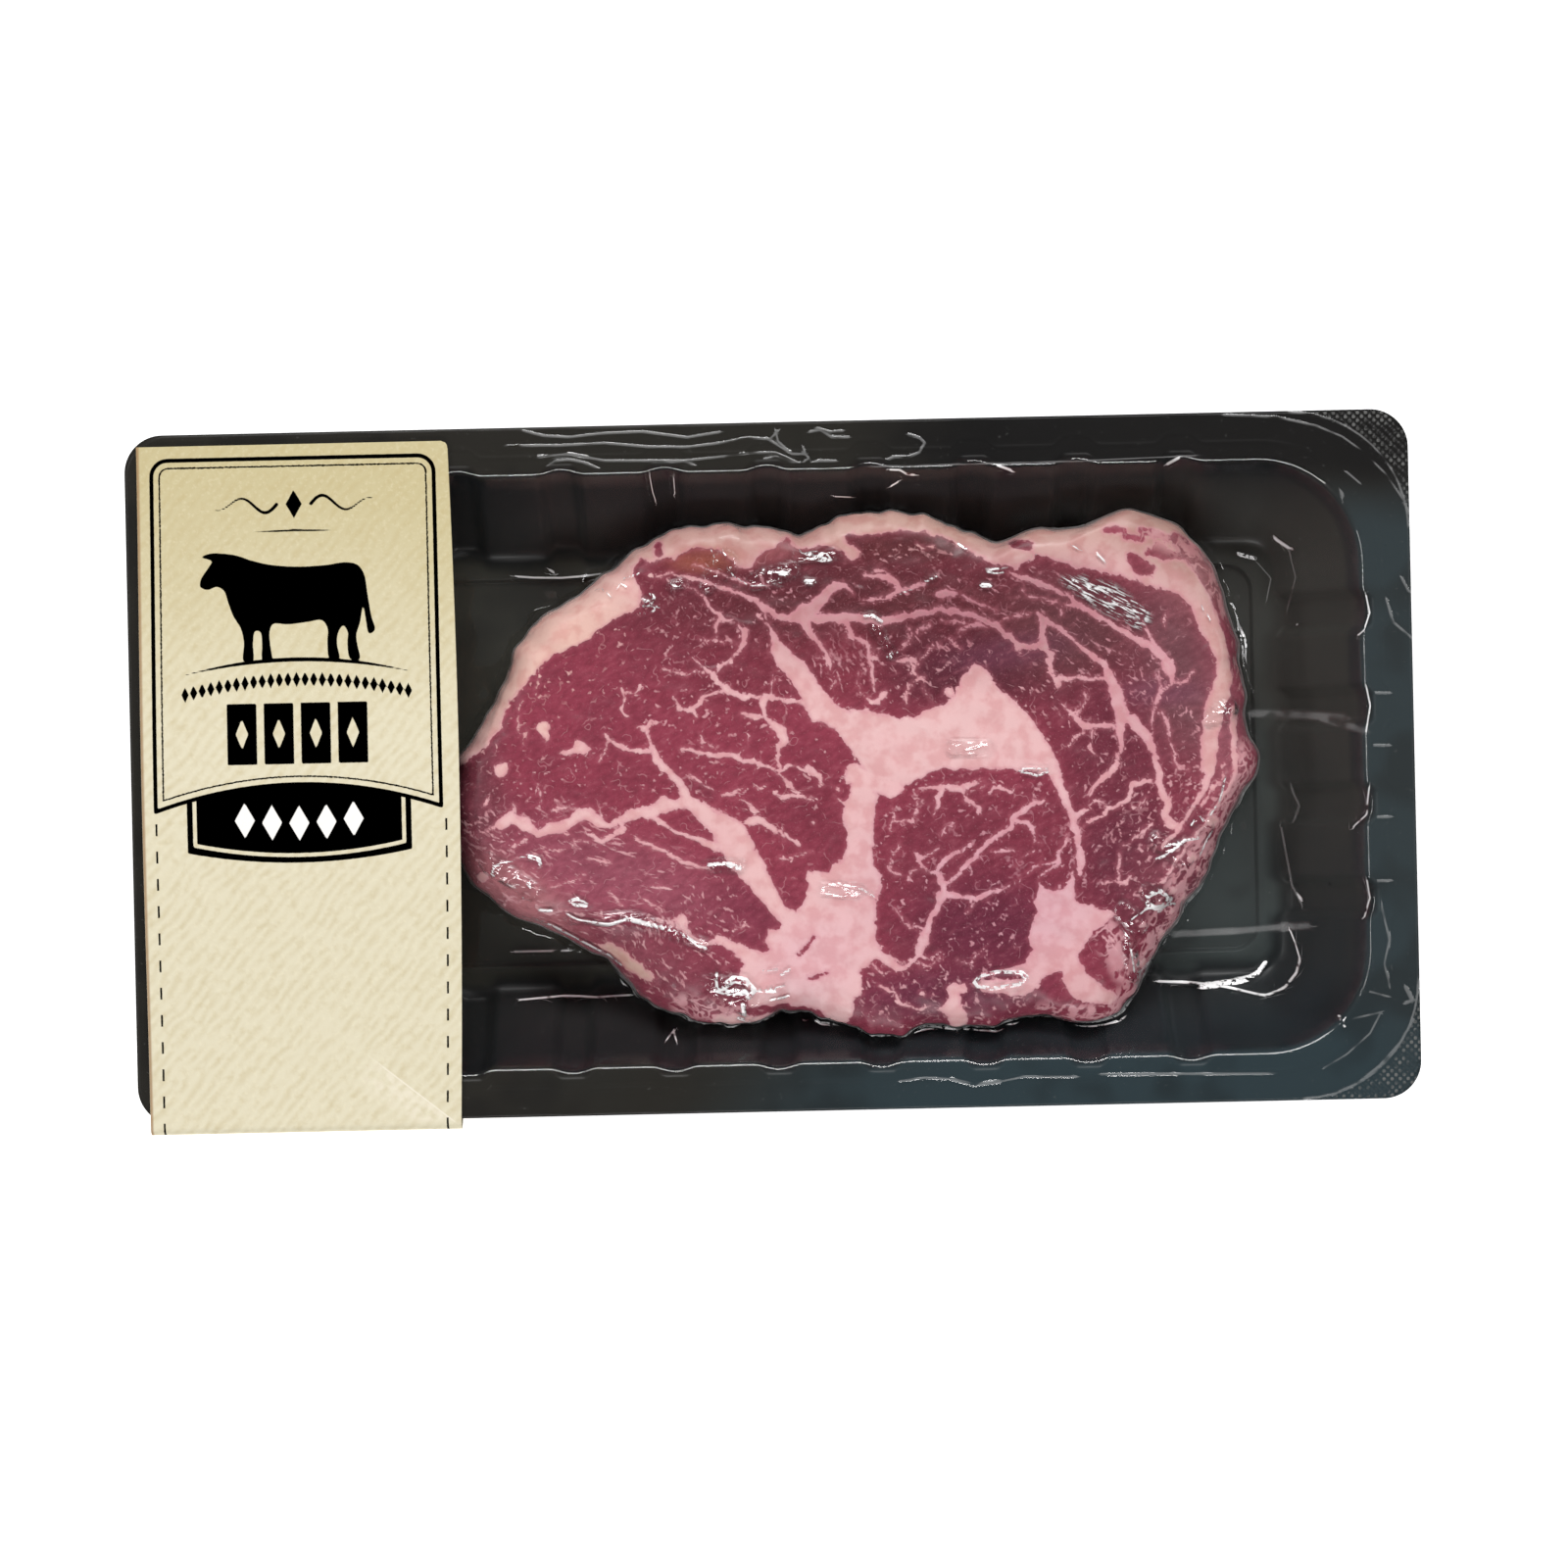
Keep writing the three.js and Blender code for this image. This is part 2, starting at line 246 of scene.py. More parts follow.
def line_sides(spots: Array, lines: Sequence[Array], reach: float) -> tuple[Array, Array]:
    """How far to one side of the nearest line each spot lies, and how near that line is.

    A signed gap passes through 0 under its line, so that the line shows even where the mesh's cells are
    wider than it is.

    Args:
        spots: The places, as (count, 2).
        lines: The lines' points and widths.
        reach: How far out a line counts as near.

    Returns:
        Signed gaps in half widths, and nearness from 0 to 1.
    """
    side, least = np.full(len(spots), FAR_OFF), np.full(len(spots), reach)
    for near, gap, width, sign in stretches(spots, lines, reach):
        closer = gap < least[near]
        least[near[closer]] = gap[closer]
        side[near[closer]] = (sign * gap / width * 2.0)[closer]
    return side, ease((reach - least) / reach * 2.0)


def depth_in_line(gap: Array, width: Array) -> Array:
    """How deep a spot lies in a line: half its width less the gap."""
    return width / 2.0 - gap


def depth_in_lines(spots: Array, lines: Sequence[Array], reach: float) -> Array:
    """How deep each spot lies in the line that it lies deepest in, never under -reach."""
    return line_field(spots, lines, depth_in_line, reach, -reach)


def area_depth(spots: Array, corners: Array, reach: float) -> Array:
    """How deep each spot lies inside a closed outline, below zero outside it and never under -reach.

    Args:
        spots: The places, as (count, 2).
        corners: The outline's corners in order.
        reach: How far out the distance is still worked out.

    Returns:
        The distance to the nearest edge, with its sign from the even-odd rule.
    """
    depth = np.full(len(spots), -reach)
    low, high = corners.min(axis=0) - reach, corners.max(axis=0) + reach
    near = np.flatnonzero(np.all((spots > low) & (spots < high), axis=1))
    x, y = spots[near].T
    inside = np.zeros(len(near), bool)
    gap = np.full(len(near), np.inf)
    for start, end in zip(corners, np.roll(corners, -1, axis=0)):
        way = end - start
        arm = spots[near] - start
        share = np.clip(arm @ way / max(way @ way, TINY), 0.0, 1.0)
        gap = np.minimum(gap, np.linalg.norm(arm - share[:, None] * way, axis=1))
        if way[1] != 0.0:
            crosses = (start[1] > y) != (end[1] > y)
            inside ^= crosses & (x < start[0] + (y - start[1]) * way[0] / way[1])
    depth[near] = np.maximum(np.where(inside, gap, -gap), -reach)
    return depth


# Meshes


@dataclass
class Surface:
    """A mesh in the making: points, faces of three or four corners, and values marked on the points."""

    points: Array
    faces: list[NDArray[np.int64]]
    marks: dict[str, Array] = field(default_factory=dict)

    def triangles(self) -> int:
        """How many triangles the faces come to."""
        return sum(len(block) * (block.shape[1] - 2) for block in self.faces)


def grid_faces(rows: int, columns: int, closed: bool = False, start: int = 0) -> NDArray[np.int64]:
    """Four-cornered faces between neighbouring rows of a grid.

    Args:
        rows: How many rows of points it has.
        columns: How many points a row has.
        closed: Whether the last column is joined to the first.
        start: The first point's number.

    Returns:
        The corners' numbers as (count, 4).
    """
    row = np.arange(rows - 1)[:, None] * columns
    column = np.arange(columns if closed else columns - 1)[None, :]
    after = (column + 1) % columns
    corners = [row + column, row + columns + column, row + columns + after, row + after]
    return start + np.stack(corners, axis=-1).reshape(-1, 4)


def pole_faces(pole: int, ring: NDArray[np.int64]) -> NDArray[np.int64]:
    """Three-cornered faces from a pole to the ring round it."""
    return np.stack([np.full(len(ring), pole), ring, np.roll(ring, -1)], axis=1)


def grid_normals(grid: Array, closed: bool = False) -> Array:
    """Unit normals of a grid of points: the cross product of its steps along rows and columns.

    Args:
        grid: The points as (rows, columns, 3).
        closed: Whether the last column is joined to the first.

    Returns:
        A normal for each point.
    """
    down = np.gradient(grid, axis=0)
    if closed:
        along = np.roll(grid, -1, axis=1) - np.roll(grid, 1, axis=1)
    else:
        along = np.gradient(grid, axis=1)
    normal = np.cross(down, along)
    return normal / np.maximum(np.linalg.norm(normal, axis=-1, keepdims=True), TINY)


def make_piece(name: str, surface: Surface, material: bpy.types.Material, slot: Slot,
               *nodes: str) -> bpy.types.Object:
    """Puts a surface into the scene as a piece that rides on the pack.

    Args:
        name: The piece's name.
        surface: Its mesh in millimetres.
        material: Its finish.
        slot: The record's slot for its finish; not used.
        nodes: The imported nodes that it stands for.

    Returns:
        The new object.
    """
    mesh = bpy.data.meshes.new(name)
    mesh.vertices.add(len(surface.points))
    mesh.vertices.foreach_set("co", (surface.points * METRES).astype(np.float32).ravel())
    sizes = np.concatenate([np.full(len(block), block.shape[1]) for block in surface.faces])
    corners = np.concatenate([block.ravel() for block in surface.faces])
    mesh.loops.add(len(corners))
    mesh.loops.foreach_set("vertex_index", corners.astype(np.int32))
    mesh.polygons.add(len(sizes))
    mesh.polygons.foreach_set("loop_start", (np.cumsum(sizes) - sizes).astype(np.int32))
    mesh.polygons.foreach_set("use_smooth", np.ones(len(sizes), bool))
    for mark, values in surface.marks.items():
        coloured = values.ndim == 2
        layer = mesh.attributes.new(mark, "FLOAT_COLOR" if coloured else "FLOAT", "POINT")
        layer.data.foreach_set("color" if coloured else "value", values.astype(np.float32).ravel())
    mesh.update(calc_edges=True)
    mesh.validate()
    piece = bpy.data.objects.new(name, mesh)
    bpy.context.scene.collection.objects.link(piece)
    mesh.materials.append(material)
    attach(piece, "root")
    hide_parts(*nodes)
    log.info("%s: %d triangles", name, surface.triangles())
    return piece


# Shader sums


class Wire:
    """A node's output with arithmetic: an expression on it adds Math nodes."""

    def __init__(self, graph: "Graph", socket: bpy.types.NodeSocket) -> None:
        """Keeps the socket and the graph it belongs to."""
        self.graph = graph
        self.socket = socket

    def _math(self, operation: str, *values: "Wire | float") -> "Wire":
        """Adds one Math node on these values."""
        return self.graph.add("ShaderNodeMath", {"operation": operation}, dict(enumerate(values)))

    def __add__(self, other: "Wire | float") -> "Wire":
        """Sum."""
        return self._math("ADD", self, other)

    def __radd__(self, other: float) -> "Wire":
        """Sum with a number on the left."""
        return self._math("ADD", other, self)

    def __sub__(self, other: "Wire | float") -> "Wire":
        """Difference."""
        return self._math("SUBTRACT", self, other)

    def __rsub__(self, other: float) -> "Wire":
        """Difference from a number on the left."""
        return self._math("SUBTRACT", other, self)

    def __mul__(self, other: "Wire | float") -> "Wire":
        """Product."""
        return self._math("MULTIPLY", self, other)

    def __rmul__(self, other: float) -> "Wire":
        """Product with a number on the left."""
        return self._math("MULTIPLY", other, self)

    def __truediv__(self, other: "Wire | float") -> "Wire":
        """Quotient."""
        return self._math("DIVIDE", self, other)

    def __abs__(self) -> "Wire":
        """Size without the sign."""
        return self._math("ABSOLUTE", self)

    def sine(self) -> "Wire":
        """Sine of an angle in radians."""
        return self._math("SINE", self)

    def fraction(self) -> "Wire":
        """The part after the point."""
        return self._math("FRACT", self)

    def least(self, other: "Wire | float") -> "Wire":
        """The lower of the two."""
        return self._math("MINIMUM", self, other)

    def most(self, other: "Wire | float") -> "Wire":
        """The higher of the two."""
        return self._math("MAXIMUM", self, other)

    def between(self, low: float, high: float) -> "Wire":
        """0 below low, 1 above high, and a gentle rise from one to the other."""
        settings = {"interpolation_type": "SMOOTHSTEP"}
        return self.graph.add("ShaderNodeMapRange", settings,
                              {"Value": self, "From Min": low, "From Max": high})


class Graph:
    """A material's nodes."""

    def __init__(self, name: str) -> None:
        """Starts a material with an empty graph and its output.

        Args:
            name: The material's name.
        """
        self.material = bpy.data.materials.new(name)
        self.material.use_nodes = True
        self.tree = self.material.node_tree
        self.tree.nodes.clear()
        self.output = self.tree.nodes.new("ShaderNodeOutputMaterial")

    def add(self, kind: str, settings: dict[str, Any] | None = None,
            inputs: dict[str | int, Any] | None = None, output: int | str = 0) -> Wire:
        """Adds a node.

        Args:
            kind: The node's type.
            settings: Its own settings, set first.
            inputs: Values or wires for its sockets, by name or number.
            output: The output to hand back, by name or number.

        Returns:
            That output.
        """
        node = self.tree.nodes.new(kind)
        for key, value in (settings or {}).items():
            setattr(node, key, value)
        for key, value in (inputs or {}).items():
            if isinstance(value, Wire):
                self.tree.links.new(value.socket, node.inputs[key])
            else:
                node.inputs[key].default_value = value
        return Wire(self, node.outputs[output])

    def finish(self, shader: Wire) -> bpy.types.Material:
        """Joins a shader to the output and hands back the material."""
        self.tree.links.new(shader.socket, self.output.inputs["Surface"])
        return self.material

    def place(self) -> Wire:
        """The point's place on the object, in metres."""
        return self.add("ShaderNodeTexCoord", output="Object")

    def mark(self, name: str) -> Wire:
        """A value marked on the mesh."""
        return self.add("ShaderNodeAttribute", {"attribute_name": name}, output="Fac")

    def mark_colour(self, name: str) -> Wire:
        """A colour marked on the mesh."""
        return self.add("ShaderNodeAttribute", {"attribute_name": name}, output="Color")

    def axis(self, name: str) -> Wire:
        """One coordinate of the point, in millimetres."""
        return self.add("ShaderNodeSeparateXYZ", None, {"Vector": self.place()}, name) * (1.0 / METRES)

    def noise(self, size: float, detail: float = 2.0, stretch: tuple[float, float, float] = (1, 1, 1),
              turn: float = 0.0) -> Wire:
        """Noise from 0 to 1 with spots of about this size in millimetres.

        Args:
            size: The spots' size.
            detail: How many finer layers it has.
            stretch: How many times longer the spots are along each axis.
            turn: How far the stretched axes are turned about Z, in degrees.

        Returns:
            The noise.
        """
        turned = self.add("ShaderNodeMapping", {"vector_type": "TEXTURE"}, {
            "Vector": self.place(), "Rotation": (0.0, 0.0, math.radians(turn)), "Scale": stretch})
        return self.add("ShaderNodeTexNoise", None, {
            "Vector": turned, "Scale": 1.0 / (size * METRES), "Detail": detail})

    def blend(self, share: Wire | float, first: Any, second: Any) -> Wire:
        """The first colour, with this share of the second."""
        return self.add("ShaderNodeMix", {"data_type": "RGBA"}, {0: share, 6: first, 7: second}, 2)

    def tint(self, colour: Any, by: Any, share: Wire | float = 1.0) -> Wire:
        """A colour multiplied by another, to this share."""
        settings = {"data_type": "RGBA", "blend_type": "MULTIPLY"}
        return self.add("ShaderNodeMix", settings, {0: share, 6: colour, 7: by}, 2)

    def bump(self, height: Wire, depth: float) -> Wire:
        """A normal for a height from 0 to 1 that stands for this depth in millimetres."""
        return self.add("ShaderNodeBump", None, {"Height": height, "Distance": depth * METRES})


# The tray


@dataclass(frozen=True)
class TrayForm:
    """The tray's upper surface as a height over each spot."""

    half: Array
    height: float
    wall: float = 0.8
    corner_radius: float = 8.0
    flange: float = 10.0
    well_radius: float = 22.0
    wall_run: float = 15.75
    ledge: float = 2.0
    pad: float = 0.8
    pad_half: tuple[float, float] = (104.5, 42.0)
    pad_radius: float = 6.0
    pad_step: float = 1.0
    groove_depth: float = 2.0
    groove_floor: float = 4.3
    groove_ramp: float = 3.0
    long_side: tuple[int, float] = (9, 21.7)
    short_side: tuple[int, float] = (4, 20.3)
    rim_round: float = 0.9
    foot_round: float = 1.2
    foot_fade: float = 3.0
    bead: tuple[float, float, float] = (3.7, 0.7, 0.1)

    @property
    def well(self) -> Array:
        """Half the well's length and width at the rim."""
        return self.half - self.flange

    @property
    def slope(self) -> float:
        """How steeply the wall rises."""
        return (self.height - self.ledge) / self.wall_run

    @staticmethod
    def box_gap(spots: Array, half: Array, radius: float) -> Array:
        """Distance from a rounded rectangle, below zero inside it."""
        out = np.abs(spots) - np.asarray(half) + radius
        return np.linalg.norm(np.maximum(out, 0.0), axis=-1) + np.minimum(out.max(axis=-1), 0.0) - radius

    def groove_share(self, along: Array, side: tuple[int, float]) -> Array:
        """How far into a groove each place along a straight side is.

        Args:
            along: The places' distances from the side's middle.
            side: How many grooves the side has, and their pitch.

        Returns:
            0 between grooves, 1 in one, and a gentle rise between the two.
        """
        count, pitch = side
        shift = (count - 1) / 2.0
        nearest = np.clip(np.round(along / pitch + shift), 0, count - 1) - shift
        off = np.abs(along - nearest * pitch)
        return ease((self.groove_floor / 2.0 + self.groove_ramp - off) / self.groove_ramp)

    def grooves(self, spots: Array) -> Array:
        """The groove share at each spot, read along the side that is nearest."""
        on_long = np.diff(np.abs(spots) - self.well)[..., 0] > 0.0
        return np.where(on_long, self.groove_share(spots[..., 0], self.long_side),
                        self.groove_share(spots[..., 1], self.short_side))

    def rim_gap(self, spots: Array) -> Array:
        """Distance out from the rim, below zero inside the well, with the grooves counted in."""
        gap = self.box_gap(spots, self.well, self.well_radius)
        return gap - self.groove_depth * self.grooves(spots)

    def height_at(self, spots: Array, foot_round: float | None = None) -> Array:
        """Height of the upper surface: pad, step, ledge, sloping wall and flange, with rounded corners.

        Args:
            spots: Places seen from above.
            foot_round: How far the curve at the wall's foot reaches, if not as far as the tray's own.

        Returns:
            The heights.
        """
        step = ease(1.0 + self.box_gap(spots, self.pad_half, self.pad_radius) / self.pad_step)
        floor = self.pad + (self.ledge - self.pad) * step
        gap = self.rim_gap(spots)
        wall = self.height + gap * self.slope
        bowl = soft_max(wall, floor, foot_round or self.foot_round)
        surface = soft_min(bowl, self.height, self.rim_round)
        place, width, rise = self.bead
        crest = np.clip(1.0 - np.abs(gap - place) / width, 0.0, 1.0)
        return surface + rise * ease(crest)

    def clear_height(self, spots: Array, distance: float) -> Array:
        """Height that keeps clear of the plain wall, floor and flange, as the steak's solid does.

        Args:
            spots: Places seen from above.
            distance: How far it keeps from them.

        Returns:
            The heights.
        """
        inside = self.box_gap(spots, self.pad_half, self.pad_radius)
        step = np.clip(1.0 + inside / self.pad_step, 0.0, 1.0)
        floor = self.pad + (self.ledge - self.pad) * step + distance
        gap = self.box_gap(spots, self.well, self.well_radius)
        wall = self.height + gap * self.slope + distance * math.hypot(1.0, self.slope)
        return np.maximum(floor, np.minimum(wall, self.height + distance))

    def wall_share(self, gap: Array, start: float, soft: float, past_foot: float) -> Array:
        """How surely spots lie on the wall, from a start inside the rim to some fades past the foot."""
        return ease((-gap - start) / soft) * ease((gap + self.wall_run) / self.foot_fade + past_foot)


@dataclass(frozen=True)
class TrayPlastic:
    """Glossy black plastic, warm on the left and cool on the right, with a grey haze over its far corner.

    The warm and cool tints and the haze are painted reflections. Painted shadow darkens blotches and the
    far flange, painted light brightens the well towards its floor, and painted shade darkens the sloping
    wall.
    The zones are the stretches over which a tint, a shadow, the well or the haze comes in.
    """

    # warm and cool are tints of painted reflection, deep is painted shadow, wall is painted shade on the
    # wall, and the gain below is painted light in the well
    warm: tuple[float, ...] = shade(38, 36, 32)
    cool: tuple[float, ...] = shade(44, 57, 62)
    deep: tuple[float, ...] = shade(19, 18, 18)
    wall: tuple[float, ...] = shade(23, 25, 28)
    well_painted_light: tuple[float, ...] = (2.5, 2.7, 2.75, 1.0)
    scuff: tuple[float, ...] = shade(120, 120, 118)
    haze_reflection: tuple[float, ...] = shade(60, 58, 54)
    haze_reflection_share: float = 0.75
    far_zone: tuple[float, float] = (52.0, 68.0)
    cool_zone: tuple[float, float] = (50.0, 150.0)
    shadow_zone: tuple[float, float] = (20.0, 60.0)
    haze_reflection_zone: tuple[float, float] = (88.0, 136.0)
    well_zone: tuple[float, float] = (5.0, 19.5)
    grip_pitch: float = 1.7
    grip_relief: float = 0.12
    gloss: float = 0.24

    def build(self) -> bpy.types.Material:
        """Makes the material.

        Returns:
            The material.
        """
        graph = Graph("tray_plastic")
        x, y = graph.axis("X"), graph.axis("Y")
        far = (y + graph.noise(20.0, 1.0) * 10.0).between(*self.far_zone)
        # painted reflection: warm on the left and cool on the right, fading in the well
        cast = (x - y * 0.8 + graph.noise(38.0, 1.0) * 90.0).between(*self.cool_zone) * (1.0 - far)
        lower = 1.0 - graph.axis("Z").between(*self.well_zone)
        colour = graph.blend(cast * (1.0 - lower * 0.75), self.warm, self.cool)
        shadow = graph.noise(21.0, 2.0).between(0.5, 0.66) * 0.4
        shadow = shadow.most(far * (x + graph.noise(14.0, 2.0) * 30.0).between(*self.shadow_zone))
        colour = graph.blend(shadow, colour, self.deep)
        # painted light: the well brightened towards its floor
        colour = graph.tint(colour, self.well_painted_light, lower)
        # painted shade: the sloping wall darker than the floor
        colour = graph.blend(graph.mark("wall") * 0.8, colour, self.wall)
        # painted reflection: a grey haze over the far right corner, fainter on the flange
        reflected_haze = (x + y * 0.6 + graph.noise(16.0, 2.0) * 24.0).between(*self.haze_reflection_zone) * (1.0 - far * 0.8)
        reflected_haze = reflected_haze * (0.35 + lower.between(0.0, 0.1) * 0.65)
        colour = graph.blend(reflected_haze * self.haze_reflection_share, colour, self.haze_reflection)
        per_mm = FULL_TURN / self.grip_pitch
        dots = (x * per_mm).sine() * (y * per_mm).sine()
        grip = dots.between(0.1, 0.5) * graph.mark("grip") * graph.noise(2.4, 2.0).between(0.4, 0.6)
        rubbed = graph.noise(0.9, 3.0).between(0.66, 0.8) * 0.25
        colour = graph.blend((grip + rubbed).least(1.0) * 0.7, colour, self.scuff)
        roughness = self.gloss + graph.noise(6.0, 3.0) * 0.14 + grip * 0.3
        normal = graph.bump(dots * graph.mark("grip"), self.grip_relief)
        shader = graph.add("ShaderNodeBsdfPrincipled", None, {
            "Base Color": colour, "Roughness": roughness, "Normal": normal, "Specular IOR Level": 0.12})
        return graph.finish(shader)


@dataclass
class Tray:
    """The thermoformed tray: a flange round a ribbed well with a sunk pad.

    A ring stop is a place between two of the tray's outlines, which are numbered from the middle out: the
    hub, the pad's floor, the pad's edge, the wall's foot, the rim and the flange's edge. Each row gives
    the first stop, the last and how many rings lie between them.
    """

    form: TrayForm
    long_steps: int = 300
    short_steps: int = 124
    corner_steps: int = 22
    hub: float = 0.04
    grip_radius: float = 25.0
    grip_soft: float = 0.8
    ring_stops: tuple[tuple[float, float, int], ...] = (
        (0.0, 0.97, 9), (1.0, 2.0, 8), (2.2, 2.7, 3), (2.8, 3.12, 8), (3.2, 3.9, 9), (3.92, 4.12, 10),
        (4.18, 4.28, 3), (4.31, 4.43, 9), (4.5, 5.0, 8))

    def ring_frame(self) -> tuple[Array, Array]:
        """Where a ring's points lie on any rounded rectangle, anticlockwise from the lower right.

        Returns:
            What to multiply by the half size less the radius, and what to multiply by the radius.
        """
        places, turns = [], []
        for start, steps in enumerate((self.short_steps, self.long_steps) * 2):
            angle = start * QUARTER_TURN
            out = np.round([math.cos(angle), math.sin(angle)])
            along = np.array([-out[1], out[0]])
            share = np.linspace(-1.0, 1.0, steps)[:, None]
            arc = angle + np.linspace(0.0, QUARTER_TURN, self.corner_steps + 2)[1:-1]
            places += [out + along * share, np.tile(out + along, (self.corner_steps, 1))]
            turns += [np.tile(out, (steps, 1)), np.stack([np.cos(arc), np.sin(arc)], axis=1)]
        return np.concatenate(places), np.concatenate(turns)

    def rings(self) -> Array:
        """Rings of spots from the pad's middle out to the flange's edge.

        Each ring is a rounded rectangle between two of the tray's own outlines, and those on the wall are
        pushed out by the grooves.

        Returns:
            Spots as (rings, points, 2).
        """
        form = self.form
        pad = np.array(form.pad_half)
        step = np.full(2, form.pad_step)
        foot = form.well - form.wall_run
        foot_radius = form.well_radius - form.wall_run
        outlines = np.array([
            [*(self.hub * pad), self.hub * form.pad_radius, 0.0],
            [*(pad - step), form.pad_radius - form.pad_step, 0.0],
            [*pad, form.pad_radius, 0.0], [*foot, foot_radius, 1.0],
            [*form.well, form.well_radius, 1.0], [*form.half, form.corner_radius, 0.0]])
        stops = np.concatenate([np.linspace(*row) for row in self.ring_stops])
        at = np.arange(len(outlines))
        half_x, half_y, radius, groove = (np.interp(stops, at, outlines[:, k]) for k in range(4))
        place, turn = self.ring_frame()
        core = np.stack([half_x - radius, half_y - radius], axis=1)
        spots = core[:, None, :] * place + radius[:, None, None] * turn
        push = form.groove_depth * form.grooves(spots) * groove[:, None]
        straight = np.max(np.abs(turn), axis=1) > 0.999
        return spots + (push * straight)[..., None] * turn

    def grip(self, spots: Array) -> Array:
        """How surely spots lie on the knurled corners, outside the peel arcs at the right end.

        Args:
            spots: Places seen from above.

        Returns:
            The shares, from 0 to 1.
        """
        middle = self.form.half - self.grip_radius
        out = np.abs(spots - np.array([middle[0], 0.0])) - np.array([0.0, middle[1]])
        corner = (spots[..., 0] > middle[0]) & (np.abs(spots[..., 1]) > middle[1])
        beyond = np.linalg.norm(out, axis=-1) - self.grip_radius
        return np.where(corner, fade(beyond, self.grip_soft), 0.0)

    def build(self) -> bpy.types.Object:
        """Makes the tray: its upper skin, and below it the same skin moved in along its normals.

        Returns:
            The piece.
        """
        rings = self.rings()
        upper = on_height(rings, self.form.height_at(rings))
        inward = self.form.wall * grid_normals(upper, closed=True)
        inward[[0, -1]] = [0.0, 0.0, self.form.wall]
        lower = (upper - inward)[::2]
        lower[..., 2] = np.maximum(lower[..., 2], 0.0)
        count = rings.shape[1]
        shell = np.concatenate([upper, lower[::-1]])
        poles = np.array([[0.0, 0.0, self.form.pad], [0.0, 0.0, 0.0]])
        points = np.concatenate([shell.reshape(-1, 3), poles])
        first = len(points) - 2
        last_ring = np.arange((len(shell) - 1) * count, len(shell) * count)
        faces = [grid_faces(len(shell), count, closed=True), pole_faces(first, np.arange(count)),
                 pole_faces(first + 1, last_ring[::-1])]
        # the wall mark also places the painted shade on the tray's wall
        wall = self.form.wall_share(self.form.rim_gap(points[:, :2]), 0.0, 1.5, 1.4)
        surface = Surface(points, faces, {"grip": self.grip(points[:, :2]), "wall": wall})
        return make_piece("tray_shell", surface, TrayPlastic().build(), Slot.TRAY, "tray")


# The steak


OUTLINE = """
101,14 101,7 103.6,0 101.8,-5.6 97,-13 92.5,-24 85.3,-34.7 79.5,-43.5 75,-51 66,-55.5 56,-53.7 42.4,-55.8
31,-55.2 24.4,-57.3 9.6,-53.3 2.5,-51.5 -5,-53.8 -13.7,-54 -28.8,-48.5 -35,-41.5 -48.7,-33.7 -58.1,-29.3
-66.5,-20.5 -69.8,-9 -68,1 -59.6,14.6 -51.6,30.5 -40.9,37.7 -23.4,49.5 -13.4,51.7 -1.7,51.1 8.2,49.6
15,52.7 31,53.2 44.6,48.4 50.2,47.1 57,49.6 65.3,49.4 77.7,52.9 91.6,45.5 97.8,32
"""


